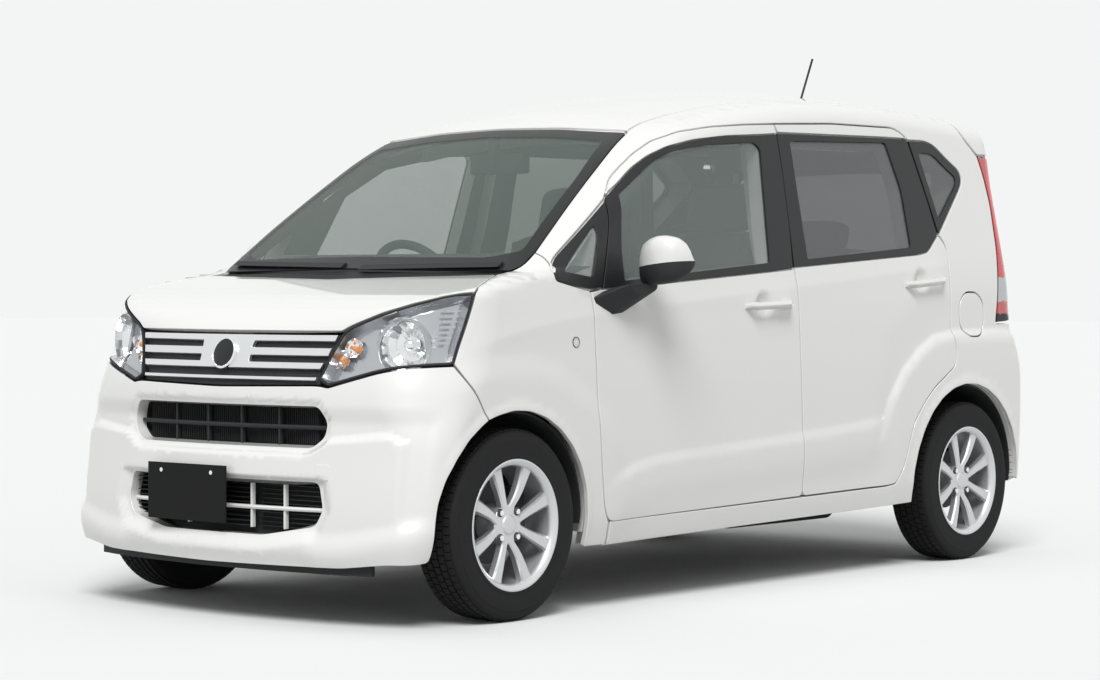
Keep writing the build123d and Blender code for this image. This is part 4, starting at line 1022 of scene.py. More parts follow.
def repeated(layout, item, material, count, size, start=(0, 0, 0), end=(0, 0, 0), radius=0.0, turn=(0, 0, 0),
             sides=6):
    """A plain mesh of an item repeated round a ring or along a row, in millimetres and degrees."""
    tree = array_tree(layout, item)
    values = {"Count": count, "Start": tuple(v * MM for v in start), "End": tuple(v * MM for v in end),
              "Radius": radius * MM, "Size": tuple(v * MM for v in size),
              "Turn": tuple(math.radians(v) for v in turn), "Sides": sides, "Finish": material}
    holder = bpy.data.objects.new("array_holder", bpy.data.meshes.new("array_holder"))
    bpy.context.scene.collection.objects.link(holder)
    modifier = holder.modifiers.new("array", "NODES")
    modifier.node_group = tree
    for socket in tree.interface.items_tree:
        if socket.in_out == "INPUT":
            modifier[socket.identifier] = values[socket.name]
    graph = bpy.context.evaluated_depsgraph_get()
    mesh = bpy.data.meshes.new_from_object(holder.evaluated_get(graph))
    bpy.data.objects.remove(holder)
    return mesh


# ---- Finishes -----------------------------------------------------------------------------
FINISHES = {}


def finish(name, colour, roughness, metallic=0.0, mottle=0.04, mottle_scale=9.0, bump=0.0, bump_scale=400.0,
           grain="noise", **sockets):
    """A procedural finish: colour and roughness drift, with a fine relief."""
    if name in FINISHES:
        return FINISHES[name]
    material = bpy.data.materials.new(name)
    material.use_nodes = True
    nodes, links = material.node_tree.nodes, material.node_tree.links
    shader = nodes["Principled BSDF"]
    shader.inputs["Metallic"].default_value = metallic
    for key, value in sockets.items():
        shader.inputs[key.replace("_", " ").title().replace("Ior", "IOR")].default_value = value
    place = nodes.new("ShaderNodeTexCoord")
    cloud = nodes.new("ShaderNodeTexNoise")
    cloud.inputs["Scale"].default_value = mottle_scale
    cloud.inputs["Detail"].default_value = 6.0
    links.new(place.outputs["Object"], cloud.inputs["Vector"])
    tone = nodes.new("ShaderNodeMix")
    tone.data_type = "RGBA"
    low = [c * (1 - mottle) for c in colour]
    high = [min(1.0, c * (1 + mottle)) for c in colour]
    tone.inputs["A"].default_value = (*low, 1)
    tone.inputs["B"].default_value = (*high, 1)
    links.new(cloud.outputs["Fac"], tone.inputs["Factor"])
    links.new(tone.outputs["Result"], shader.inputs["Base Color"])
    spread = nodes.new("ShaderNodeMapRange")
    spread.inputs["To Min"].default_value = max(0.0, roughness - 0.05)
    spread.inputs["To Max"].default_value = min(1.0, roughness + 0.05)
    links.new(cloud.outputs["Fac"], spread.inputs["Value"])
    links.new(spread.outputs["Result"], shader.inputs["Roughness"])
    if bump:
        if grain == "voronoi":
            fine = nodes.new("ShaderNodeTexVoronoi")
            height = fine.outputs["Distance"]
        elif grain == "weave":
            fine = nodes.new("ShaderNodeTexWave")
            fine.inputs["Distortion"].default_value = 1.5
            height = fine.outputs["Fac"]
        else:
            fine = nodes.new("ShaderNodeTexNoise")
            fine.inputs["Detail"].default_value = 4.0
            height = fine.outputs["Fac"]
        fine.inputs["Scale"].default_value = bump_scale
        links.new(place.outputs["Object"], fine.inputs["Vector"])
        relief = nodes.new("ShaderNodeBump")
        relief.inputs["Strength"].default_value = bump
        relief.inputs["Distance"].default_value = 0.001
        links.new(height, relief.inputs["Height"])
        links.new(relief.outputs["Normal"], shader.inputs["Normal"])
    FINISHES[name] = material
    return material


def paint():
    look = bpy.context.scene.hatch_colours
    return finish("pearl_white_paint", tuple(look.paint), 0.32, mottle=0.006, mottle_scale=3.0, bump=0.012,
                  bump_scale=900.0, coat_weight=1.0, coat_roughness=0.03)


def sash_black():
    return finish("satin_black_sash", (0.016, 0.017, 0.018), 0.36, mottle=0.08, bump=0.02, bump_scale=700.0,
                  specular_ior_level=0.3)


def black_trim():
    return finish("grained_black_plastic", tuple(bpy.context.scene.hatch_colours.trim), 0.62, mottle=0.15,
                  bump=0.12, bump_scale=1400.0, grain="voronoi", specular_ior_level=0.25)


# Painted reflection: the pale grey-green base colour, shown through the partial alpha as a milky film, stands
# in for the white studio reflected in the windscreen, over the glass's real green tint.
def glass_clear():
    return finish("green_tint_glass_painted_reflection", (0.15, 0.205, 0.18), 0.04, mottle=0.03, alpha=0.30, ior=1.7)


# Painted reflection: the pale grey-green base colour, shown through the partial alpha as a milky film, stands
# in for the studio reflected in the side glass, over the glass's real tint.
def glass_side():
    return finish("side_glass", (0.25, 0.30, 0.285), 0.04, mottle=0.03, alpha=0.33, ior=1.7)


def glass_dark():
    return finish("privacy_glass", (0.16, 0.165, 0.17), 0.05, mottle=0.05, alpha=0.56, ior=1.6)


def lens():
    return finish("clear_lens", (0.70, 0.73, 0.75), 0.04, mottle=0.02, alpha=0.06, ior=1.6)


def chrome():
    return finish("bright_chrome", (0.86, 0.87, 0.88), 0.12, metallic=1.0, mottle=0.02)


def satin_silver():
    return finish("satin_silver", (0.78, 0.79, 0.80), 0.30, metallic=0.85, mottle=0.03, bump=0.02,
                  bump_scale=900.0)


def dark_metal():
    return finish("dark_steel", (0.06, 0.06, 0.062), 0.55, metallic=0.4, mottle=0.3, mottle_scale=30.0,
                  bump=0.3, bump_scale=180.0)


def door_trim():
    return finish("door_lining", (0.19, 0.185, 0.18), 0.82, mottle=0.08, bump=0.06, bump_scale=500.0)


def headlining():
    return finish("headlining", (0.5, 0.49, 0.47), 0.92, mottle=0.05, bump=0.06, bump_scale=600.0)


def red_lens():
    return finish("red_lens", (0.55, 0.015, 0.02), 0.16, mottle=0.06, bump=0.2, bump_scale=260.0, grain="weave",
                  coat_weight=1.0, coat_roughness=0.03)


def alloy_paint():
    return finish("silver_wheel_paint", (0.66, 0.67, 0.68), 0.32, metallic=0.55, mottle=0.03, bump=0.02,
                  bump_scale=1100.0, coat_weight=0.6, coat_roughness=0.08)


def tyre_rubber():
    return finish("tyre_rubber", (0.017, 0.017, 0.018), 0.78, mottle=0.22, mottle_scale=14.0, bump=0.15,
                  bump_scale=900.0, specular_ior_level=0.2)


def lamp_bezel():
    return finish("lamp_bezel_silver", (0.52, 0.53, 0.55), 0.18, metallic=0.92, mottle=0.05)


def amber():
    return finish("amber_bulb", (0.85, 0.28, 0.02), 0.2, mottle=0.04, coat_weight=0.6)


def plate_black():
    return finish("plain_plate_black", (0.010, 0.010, 0.011), 0.5, mottle=0.1, bump=0.05, bump_scale=700.0,
                  specular_ior_level=0.12)


def mirror_silver():
    return finish("mirror_face", (0.78, 0.8, 0.81), 0.04, metallic=1.0, mottle=0.01)


def seat_cloth():
    return finish("woven_seat_cloth", (0.17, 0.17, 0.172), 0.92, mottle=0.16, mottle_scale=60.0, bump=0.45,
                  bump_scale=260.0, grain="weave", sheen_weight=0.3)


def cast_alloy():
    return finish("cast_alloy", (0.32, 0.32, 0.33), 0.5, metallic=0.7, mottle=0.15, mottle_scale=25.0, bump=0.3,
                  bump_scale=240.0)


def exhaust_steel():
    return finish("heated_steel", (0.34, 0.31, 0.28), 0.42, metallic=0.9, mottle=0.25, mottle_scale=16.0,
                  bump=0.1, bump_scale=300.0)


def dash_grain():
    return finish("dashboard_grain", (0.045, 0.045, 0.048), 0.7, mottle=0.12, bump=0.3, bump_scale=1200.0,
                  grain="voronoi")


# ---- Pieces: body skin --------------------------------------------------------------------
SIDES = ((1, "left", "l"), (-1, "right", "r"))


def build_body_sides():
    ring = line(BODY_SIDE)
    flap = line(FUEL_HOLE)
    view = VIEWS["S"]
    for hand, side_name, _ in SIDES:
        sheet = Sheet()
        loops = [ring, flap] if hand > 0 else [ring]
        plate(sheet, view, loops, gap=user_size("shut_gap"), pitch=22.0, folds=FOLD_LINES)
        piece(f"body_side_skin_{side_name}", sheet, [paint()], "body",
              [f"body_side_{side_name}"], right=hand < 0)
        core(f"body_side_frame_{side_name}", f"body_side_{side_name}", "body",
             [paint(), door_trim()], clearance=12.0)


def build_fenders():
    sheet = Sheet()
    plate(sheet, VIEWS["S"], [line(FENDER)], gap=user_size("shut_gap"), pitch=18.0, folds=FOLD_LINES)
    add_mirrored(sheet)
    piece("fender_skins", sheet, [paint()], "body", ["fenders"])


def build_window_surrounds():
    sheet = Sheet()
    view = VIEWS["S"]
    for frame_knots, glass_knots in ((CORNER_SASH, CORNER_GLASS), (QUARTER_SASH, QUARTER_GLASS)):
        plate(sheet, view, [line(frame_knots), line(glass_knots)], gap=1.5, radius=1.6, depth=1.5, pitch=18.0)
    add_mirrored(sheet)
    piece("fixed_window_surrounds", sheet, [sash_black()], "body")
    sheet = Sheet()
    pane(sheet, view, line(CORNER_GLASS), 6.0, 4.0, 5.0, 0)
    pane(sheet, view, line(QUARTER_GLASS), 6.0, 4.0, 5.0, 1)
    add_mirrored(sheet)
    piece("fixed_side_panes", sheet, [glass_side(), glass_dark()], "body", ["fixed_side_glass"])


DOORS = (
    ("front_door", FRONT_DOOR_PANEL, FRONT_DOOR_HEAD, FRONT_SASH, FRONT_GLASS),
    ("rear_door", REAR_DOOR_PANEL, REAR_DOOR_HEAD, REAR_SASH, REAR_GLASS),
)


def build_doors():
    view = VIEWS["S"]
    for stem, panel, head, sash, glass in DOORS:
        sheet = Sheet()
        plate(sheet, view, [line(panel)], gap=user_size("shut_gap"), pitch=15.0, folds=FOLD_LINES, slot=0)
        plate(sheet, view, [line(head)], gap=user_size("shut_gap"), pitch=15.0, slot=0)
        plate(sheet, view, [line(sash), line(glass)], gap=1.2, radius=1.5, depth=2.2, pitch=18.0, slot=1,
              flange=9.0)
        panes = Sheet()
        pane(panes, view, line(glass), 7.5, 4.0, 6.0)
        tint = glass_side() if stem == "front_door" else glass_dark()
        for hand, side_name, letter in SIDES:
            body = f"{stem}_{letter}"
            piece(f"{stem}_skin_{side_name}", sheet, [paint(), sash_black()], body,
                  [f"{stem}_{side_name}"], right=hand < 0)
            piece(f"{stem}_pane_{side_name}", panes, [tint], body,
                  [f"{stem}_glass_{side_name}"], right=hand < 0)
            core(f"{stem}_frame_{side_name}", f"{stem}_{side_name}", body,
                 [paint(), door_trim()], clearance=12.0)


def build_roof():
    sheet = Sheet()
    plate(sheet, VIEWS["T"], [line(whole(ROOF_HALF))], gap=1.6, radius=4.0, pitch=32.0)
    piece("roof_skin", sheet, [paint()], "body", ["roof"])
    core("roof_lining", "roof", "body", [paint(), headlining()])


def build_windscreen():
    sheet = Sheet()
    edge, clear = line(whole(SCREEN_HALF)), line(whole(SCREEN_GLASS_HALF))
    plate(sheet, VIEWS["F"], [edge, clear], gap=1.5, radius=1.5, depth=1.0, pitch=26.0, flange=5.0, slot=1)
    pane(sheet, VIEWS["F"], clear, 1.6, 4.4, 4.0, 0, pitch=34.0)
    piece("windscreen_pane", sheet, [glass_clear(), sash_black()], "body", ["windscreen"])


def build_bonnet():
    sheet = Sheet()
    ring = line(whole(BONNET_HALF))
    plate(sheet, VIEWS["T"], [ring], gap=user_size("shut_gap"), pitch=18.0)
    back(sheet, VIEWS["T"], [ring], depth=14.0, inset=user_size("shut_gap"))
    piece("bonnet_skin", sheet, [paint()], "bonnet", ["bonnet"])
    sheet = Sheet()
    plate(sheet, VIEWS["T"], [line(whole(COWL_HALF))], gap=1.5, depth=7.0, pitch=20.0)
    piece("cowl_cover", sheet, [black_trim()], "body", ["cowl"])


def build_rear_bumper():
    sheet = Sheet()
    plate(sheet, Fan((-1150, 0, 430), 180, 400), [line(whole(REAR_BUMPER_HALF))], gap=user_size("shut_gap"),
          pitch=16.0)
    piece("rear_bumper_skin", sheet, [paint()], "body", ["rear_bumper"])


def build_tailgate():
    sheet = Sheet()
    outer, hole = line(whole(TAILGATE_HALF)), line(whole(TAIL_WINDOW_HALF))
    view = Fan((-1200, 0, 1100), 180, 400)
    plate(sheet, view, [outer, hole], gap=user_size("shut_gap"), pitch=20.0)
    piece("tailgate_skin", sheet, [paint()], "tailgate", ["tailgate"])
    core("tailgate_frame", "tailgate", "tailgate", [paint(), door_trim()], clearance=12.0)
    sheet = Sheet()
    clear = line(whole(TAIL_GLASS_HALF))
    plate(sheet, VIEWS["R"], [hole, clear], gap=0.5, radius=1.2, depth=2.0, pitch=26.0, flange=5.0, slot=1)
    pane(sheet, VIEWS["R"], clear, 2.6, 4.0, 4.0, 0, pitch=34.0)
    piece("tailgate_pane", sheet, [glass_dark(), sash_black()], "tailgate", ["tailgate_glass"])


def build_tail_lamps():
    sheet = Sheet()
    view = Fan((-1200, 300, 1100), 150, 400)
    plate(sheet, view, [line(TAIL_LAMP)], gap=user_size("shut_gap"), pitch=12.0, flange=20.0)
    for index, face in enumerate(sheet.faces):
        height = np.mean([sheet.points[i][2] for i in face])
        sheet.slots[index] = 1 if 905 < height < 990 else 2 if height < 862 else 0
    add_mirrored(sheet)
    piece("tail_lamp_lenses", sheet, [red_lens(), lamp_bezel(), sash_black()], "body",
          ["tail_lamps"])


# ---- Pieces: wheels -----------------------------------------------------------------------
UP = np.array([0.0, 0.0, 1.0])
OUTWARD = np.array([0.0, 1.0, 0.0])
RIM_ROWS = [(71.5, 190), (75, 190.4), (76.5, 189), (76.5, 185), None, (75, 182), (70, 175), (64, 170.5),
            (56, 169), None, (-60, 169), (-72, 176), (-76, 182), (-76, 190), None, (-71.5, 190), (-69.5, 181),
            (69.5, 181), (71.5, 190)]
HUB_ROWS = [(-28, 58), (42, 58), None, (46, 55), (47.5, 48), (47.5, 31), None, (47.5, 28.5), (51, 27.5),
            (53, 24), None, (53.8, 10), (54, 0)]
DISC_ROWS = [(-40, 62), (-40, 116), None, (-39, 117), (-31, 117), None, (-30, 116), (-30, 57)]
DRUM_ROWS = [(-56, 60), (-56, 98), None, (-54, 100), (-16, 100), None, (-14, 97), (-13, 57)]
TYRE_SHOULDER = [(69.5, 181), (73, 186), (75.6, 190), (77.2, 194), (77.2, 197), (75.8, 199), (76.2, 206),
                 (77.3, 218), (77.5, 229), (76.9, 240), (77.4, 243), (77.4, 245), (76, 247), (74.6, 255),
                 (72.4, 262), (69, 267), (64, 269.6), (60, 270.5)]
# Spoke stations: radius, angle off the pair's middle, width, height of its face.
SPOKE_ROWS = [(36, 12, 27, 46), (50, 15, 25, 48), (62, 18, 25, 51), (80, 20.8, 27, 55), (100, 22, 30, 58),
              (120, 22.3, 34, 60), (140, 22.5, 38, 61), (160, 22.6, 43, 62), (171, 22.6, 50, 62)]
SPOKE_SECTION = [(-0.5, -22), (-0.5, -4), (-0.34, 0), (0.34, 0), (0.5, -4), (0.5, -22)]
# Tread ribs: place across the tyre, width, outer radius.
TREAD_RIBS = [(-50, 19, 275.0), (-25, 19, 276.4), (0, 20, 276.9), (25, 19, 276.4), (50, 19, 275.0)]
TREAD_BASE = 270.5


def wheel_sheet(front):
    sheet = Sheet()
    turned(sheet, RIM_ROWS, (0, 0, 0), OUTWARD, 0, 96)
    turned(sheet, HUB_ROWS, (0, 0, 0), OUTWARD, 0, 48)
    turned(sheet, DISC_ROWS if front else DRUM_ROWS, (0, 0, 0), OUTWARD, 1, 64)
    for pair in range(4):
        for lean in (-1, 1):
            path, frames = [], []
            for radius, angle, width, face in SPOKE_ROWS:
                turn = math.radians(90 * pair + lean * angle)
                path.append(np.array([radius * math.cos(turn), face, radius * math.sin(turn)]))
                frames.append((np.array([-math.sin(turn), 0, math.cos(turn)]) * width, OUTWARD))
            sweep(sheet, path, frames, SPOKE_SECTION, 0)
    return sheet


def build_wheels():
    alloy, disc, rubber = alloy_paint(), dark_metal(), tyre_rubber()
    tyre = Sheet()
    rows = [(-a, r) for a, r in TYRE_SHOULDER] + [(0, TREAD_BASE + 0.4)] + TYRE_SHOULDER[::-1]
    turned(tyre, rows + [None, (-69.5, 181)], (0, 0, 0), OUTWARD, 0, 96)
    for end, axle, track in (("front", FRONT_AXLE, 652.5), ("rear", REAR_AXLE, 647.5)):
        sheet = wheel_sheet(end == "front")
        studs = Block()
        studs.add(repeated("ring", "stud", disc, 4, (12.5, 12.5, 1.6), start=(0, 47.6, 0),
                           radius=user_size("nut_circle"), turn=(-90, 45, 0), sides=24), 1)
        studs.add(repeated("ring", "stud", chrome(), 4, (8.5, 8.5, 11), start=(0, 49, 0),
                           radius=user_size("nut_circle"), turn=(-90, 45, 0)), 0)
        tread = Block()
        for across, width, radius in TREAD_RIBS:
            tread.add(repeated("ring", "bar", rubber, bpy.context.scene.hatch_sizes.tread_blocks,
                               ((radius - TREAD_BASE) * 2, 20.4, width), start=(0, across, 0),
                               radius=TREAD_BASE, turn=(-90, across / 10, 0)))
        for hand, side_name, letter in SIDES:
            place, body, right = (axle, track, WHEEL_HEIGHT), f"{end}_wheel_{letter}", hand < 0
            piece(f"{end}_rim_{side_name}", sheet, [alloy, disc], body, [f"{end}_wheel_{side_name}"],
                  right, place)
            studs.piece(f"{end}_wheel_nuts_{side_name}", [chrome(), disc], body, "alloy", (), right, place)
            piece(f"{end}_tyre_wall_{side_name}", tyre, [rubber], body,
                  [f"{end}_tyre_{side_name}"], right, place)
            tread.piece(f"{end}_tyre_tread_{side_name}", [rubber], body, "tyre_rubber", (), right, place)


# ---- Pieces: face -------------------------------------------------------------------------
GRILLE_PLATE = [("F", 0, 822), ("F", 404, 822, 4), ("F", 398, 804, 3), ("F", 106, 804, 4), ("F", 102, 785, 4),
                ("F", 391, 785, 3), ("F", 383, 763, 3), ("F", 102, 763, 4), ("F", 102, 744, 4),
                ("F", 374, 744, 3), ("F", 366, 726, 3), ("F", 0, 726)]
GRILLE_STRIP = [("F", 0, 703), ("F", 360, 703, 3), ("F", 357, 694, 3), ("F", 0, 694)]
EMBLEM_PLACE = (0, 766)
LAMP_VIEW = Fan((1150, 300, 780), 45, 400)
LAMP_AXIS = np.array([math.cos(math.radians(20)), math.sin(math.radians(20)), 0.0])
MAIN_BEAM, SIGNALS = np.array([1499.0, 588.0, 793.0]), ((418, 758), (452, 790))
MAIN_REFLECTOR = [(4, 82), (-18, 78), (-38, 66), (-54, 46), (-63, 24), (-65, 10)]
SIGNAL_REFLECTOR = [(0, 29), (-9, 26), (-17, 17), (-21, 6)]
TOW_COVER = [("F", 388, 458, 6), ("F", 431, 459, 6), ("F", 434, 415, 6), ("F", 391, 413, 6)]
UPPER_MULLIONS, LOWER_MULLIONS = (-214, -70, 70, 214), (-132, 132, 255)


def on_body(view, a, b, proud=0.0):
    """A point on the body seen in a view, and the direction out of it there."""
    point = VIEWS[view].lift(np.array([[a, b]], float))
    out = gradient(point)
    return (point + out * proud)[0], out[0]


def shrink(loop, view, amount):
    aside = inward(loop, view, False)
    return settle(loop + aside * amount)


def faceted(sheet, rows, centre, axis, slot, segments):
    """A bowl of flat mirrors, open towards its axis."""
    side_a = np.cross(axis, UP)
    side_a /= np.linalg.norm(side_a)
    side_b = np.cross(axis, side_a)

    def place(row, i):
        turn = 2 * math.pi * i / segments
        return centre + axis * row[0] + (side_a * math.cos(turn) + side_b * math.sin(turn)) * row[1]

    for near, far in zip(rows[:-1], rows[1:]):
        for i in range(segments):
            corners = [place(near, i), place(near, i + 1), place(far, i + 1), place(far, i)]
            normal = np.cross(corners[2] - corners[0], corners[3] - corners[1])
            normal /= np.linalg.norm(normal)
            middle = sum(corners) / 4
            away = centre + axis * ((middle - centre) @ axis) - middle
            if normal @ away < 0:
                normal, corners = -normal, corners[::-1]
            sheet.add(corners, [normal] * 4, [(0, 1, 2, 3)], slot)


def build_grille():
    view = VIEWS["F"]
    sheet = Sheet()
    plate(sheet, view, [line(whole(GRILLE_HALF))], gap=1.0, depth=16.0, pitch=20.0, slot=1)
    plate(sheet, view, [line(whole(GRILLE_PLATE))], gap=0.0, radius=3.0, flange=12.0, depth=1.0, pitch=14.0)
    plate(sheet, view, [line(whole(GRILLE_STRIP))], gap=0.0, radius=1.6, flange=12.0, depth=3.0, pitch=14.0)
    piece("grille_bars", sheet, [satin_silver(), black_trim()], "body", ["upper_grille"])
    centre, out = on_body("F", *EMBLEM_PLACE)
    sheet = Sheet()
    turned(sheet, [(-6, 48), (5, 48), None, (7.5, 46.5), (8.5, 44), (7.5, 41.5), (4, 40.5)], centre, out, 0)
    turned(sheet, [(4, 41), (5.5, 30), (6.6, 15), (7, 0)], centre, out, 1)
    piece("blank_badge", sheet, [chrome(), sash_black()], "body")


def build_headlamps():
    ring = line(HEADLAMP)
    inner = shrink(ring, LAMP_VIEW, 8.0)
    lamp = Sheet()
    plate(lamp, LAMP_VIEW, [ring, inner], gap=1.2, radius=1.5, depth=1.0, flange=12.0, pitch=14.0, slot=0)
    turns = [2 * math.pi * i / 48 for i in range(48)]
    aside = np.cross(LAMP_AXIS, UP)
    bowl = settle(np.array([MAIN_BEAM + (aside * math.cos(t) + UP * math.sin(t)) * 72.0 for t in turns]))
    wall(lamp, LAMP_VIEW, inner, True, (0.0, 4.0), (-7.0, 44.0), slot=1)
    plate(lamp, LAMP_VIEW, [inner, bowl], gap=6.0, radius=2.0, depth=42.0, flange=8.0, pitch=14.0, slot=1)
    faceted(lamp, MAIN_REFLECTOR, MAIN_BEAM - LAMP_AXIS * 16, LAMP_AXIS, 2, 18)
    turned(lamp, [(-64, 15), (-30, 15), None, (-28, 13), (-24, 8), (-23, 0)], MAIN_BEAM - LAMP_AXIS * 16,
           LAMP_AXIS, 2, 24)
    for place in SIGNALS:
        point, out = on_body("F", *place, -20.0)
        faceted(lamp, SIGNAL_REFLECTOR, point, out, 2, 10)
        turned(lamp, [(-20, 7.5), (-4, 8), (0, 6), (2, 0)], point, out, 3, 20)
    add_mirrored(lamp)
    piece("headlamp_housings", lamp, [black_trim(), lamp_bezel(), chrome(), amber()], "body",
          ["headlamps"])
    ribs = Block()
    ribs.add(repeated("row", "bar", lamp_bezel(), 7, (46, 5, 4), start=(1384, 676, 890), end=(1424, 668, 800),
                      turn=(0, 0, 151.6)))
    ribs.piece("headlamp_ribs", [lamp_bezel()], "body", "lamp_lens", both=True)
    cover = Sheet()
    plate(cover, LAMP_VIEW, [inner], gap=0.4, depth=1.6, flange=5.0, pitch=14.0)
    add_mirrored(cover)
    piece("headlamp_covers", cover, [lens()], "body")


def build_front_bumper():
    view, front = Fan((1150, 0, 430), 0, 400), VIEWS["F"]
    upper = line([("F", y, z, 16) for y, z in UPPER_INTAKE])
    lower = line([("F", y, z, 18) for y, z in LOWER_INTAKE])
    sheet = Sheet()
    plate(sheet, view, [line(whole(BUMPER_HALF)), upper, lower], gap=user_size("shut_gap"), pitch=11.0)
    plate(sheet, front, [line(TOW_COVER)], gap=0.0, radius=0.9, depth=-1.4, flange=4.0, pitch=10.0)
    for loop in (upper, lower):
        wall(sheet, front, loop, True, (2.6, 10.0), (-6.0, 30.0), slot=0)
        wall(sheet, front, loop, True, (-6.0, 30.0), (-9.0, 66.0), slot=1)
        plate(sheet, front, [loop], gap=6.0, depth=64.0, flange=4.0, pitch=24.0, slot=1)
    piece("front_bumper_skin", sheet, [paint(), black_trim()], "body", ["front_bumper"])

    lip = Block()
    nose = [(on_body("F", y, 196)[0][0] - 26, y) for y in np.linspace(-560, 560, 33)]
    lip.prism(nose + [(x - 16, y) for x, y in nose[::-1]], lambda u, v, w: (u, v, w), 150, 196, 1.5)
    lip.piece("front_under_lip", [black_trim()], "body", "black_plastic")

    bars = Sheet()
    section = [(-8, -5), (-2, -6.5), (3, -5), (4, 0), (3, 5), (-2, 6.5), (-8, 5)]
    for height, reach, slot in ((561, 388, 0), (328, 392, 1)):
        spots = np.array([(y, height) for y in np.linspace(-reach, reach, 25)], float)
        path = front.lift(spots)
        outs = gradient(path)
        sweep(bars, list(path - outs * 20), [(out, UP) for out in outs], section, slot)
    piece("intake_bars", bars, [black_trim(), paint()], "body", ["intake_grilles"])
    fins = Block()
    for mullions, low, high, slot in ((UPPER_MULLIONS, 508, 614, 0), (LOWER_MULLIONS, 268, 396, 1)):
        for y in mullions:
            face = on_body("F", y, (low + high) / 2)[0][0]
            fins.box((face - 34, y - 4, low), (face - 20, y + 4, high), 1.5, slot)
    for y, span in ((-285, 120), (-142, 120), (0, 120), (142, 120), (285, 120)):
        depth = on_body("F", y, 560)[0][0] - 44
        fins.add(repeated("row", "bar", black_trim(), 16, (16, 1.8, 104), start=(depth, y - span / 2, 561),
                          end=(depth, y + span / 2, 561)))
    for y, width in ((-262, 240), (0, 250), (262, 240)):
        depth = on_body("F", y, 330)[0][0] - 46
        fins.add(repeated("row", "bar", black_trim(), 10, (18, width, 2.2), start=(depth, y, 272),
                          end=(depth, y, 392)))
    fins.piece("intake_fins", [black_trim(), paint()], "body", "black_plastic")

    low, high = (np.array(corner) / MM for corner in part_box("number_plate"))
    blank = Block()
    blank.box(low, high, 1.8, 0, 3)
    for y in (low[1] + 60, high[1] - 60):
        blank.rod((high[0] - 1, y, high[2] - 22), (high[0] + 3, y, high[2] - 22), 6.5, 1.2, 1, 24)
    blank.piece("blank_number_plate", [plate_black(), chrome()], "body", "plate", ["number_plate"])


# ---- Pieces: sides ------------------------------------------------------------------------
# Mirror housing stations: share of its width, top, bottom, front.
MIRROR_ROWS = [(0, 1012, 968, 612), (0.05, 1050, 965, 634), (0.1, 1075, 964, 648), (0.2, 1093, 962, 664),
               (0.35, 1104, 963, 676), (0.5, 1110, 964, 681), (0.65, 1110, 968, 681), (0.8, 1103, 972, 674),
               (0.9, 1088, 984, 658), (0.96, 1064, 1000, 636), (1, 1040, 1016, 612)]
MIRROR_ROOT, MIRROR_TIP, MIRROR_REAR = 746.0, 924.0, 586.0
FOOT_ON_DOOR = [(821, 924), (773, 943), (718, 956), (660, 956), (668, 900), (690, 873), (742, 867), (815, 905)]
FOOT_AT_HOUSING = [(740, 965), (640, 968), (600, 965), (605, 950), (650, 935), (700, 935)]
# Pull handles: door, front and rear end, height at each, whether it carries the lock.
HANDLES = (("front_door", 62, -187, 895, 903, True), ("rear_door", -878, -1126, 963, 980, False))
REPEATER = (909, 796)


def mirror_ring(row, shrunk=1.0):
    share, top, bottom, front = row
    y = MIRROR_ROOT + (MIRROR_TIP - MIRROR_ROOT) * share
    points = []
    for i in range(40):
        turn = 2 * math.pi * i / 40
        c, s = math.cos(turn), math.sin(turn)
        power = 0.74
        x = (front + MIRROR_REAR) / 2 + (front - MIRROR_REAR) / 2 * shrunk * math.copysign(abs(c) ** power, c)
        z = (top + bottom) / 2 + (top - bottom) / 2 * shrunk * math.copysign(abs(s) ** power, s)
        points.append((x, y, z))
    return points


def build_mirrors():
    shape = bmesh.new()
    rings = [[shape.verts.new(Vector(p) * MM) for p in mirror_ring(row)] for row in MIRROR_ROWS]
    for near, far in zip(rings[:-1], rings[1:]):
        for i in range(40):
            shape.faces.new((near[i], near[(i + 1) % 40], far[(i + 1) % 40], far[i]))
    shape.faces.new(rings[0])
    shape.faces.new(rings[-1][::-1])
    bmesh.ops.recalc_face_normals(shape, faces=shape.faces)
    bmesh.ops.bisect_plane(shape, geom=[*shape.verts, *shape.edges, *shape.faces],
                           plane_co=Vector((0, MIRROR_ROOT, 1014)) * MM,
                           plane_no=(0, -20 / (MIRROR_TIP - MIRROR_ROOT), 1))
    for face in shape.faces:
        face.smooth = True
        spot = face.calc_center_median() / MM
        share = (spot.y - MIRROR_ROOT) / (MIRROR_TIP - MIRROR_ROOT)
        face.material_index = 0 if spot.z > 1014 + 20 * share and spot.x > MIRROR_REAR + 8 else 1
    housing = Block()
    mesh = bpy.data.meshes.new("housing")
    shape.to_mesh(mesh)
    shape.free()
    housing.shape.from_mesh(mesh)
    bpy.data.meshes.remove(mesh)
    base = [(x, 722, z) for x, z in FOOT_ON_DOOR] + [(x, 800, z) for x, z in FOOT_AT_HOUSING]
    housing.hull(base, 4.0, 1, 3)
    face = [(835 + 72 * math.copysign(abs(math.cos(t)) ** 0.6, math.cos(t)), 1040
             + 52 * math.copysign(abs(math.sin(t)) ** 0.6, math.sin(t)))
            for t in [2 * math.pi * i / 36 for i in range(36)]]
    housing.prism(face, lambda u, v, w: (w, u, v), MIRROR_REAR + 4, MIRROR_REAR - 2, 1.2, 2)
    for hand, side_name, letter in SIDES:
        housing.piece(f"door_mirror_{side_name}_shell", [paint(), black_trim(), mirror_silver()],
                      f"front_door_{letter}", "body_paint", [f"door_mirror_{side_name}"], right=hand < 0)


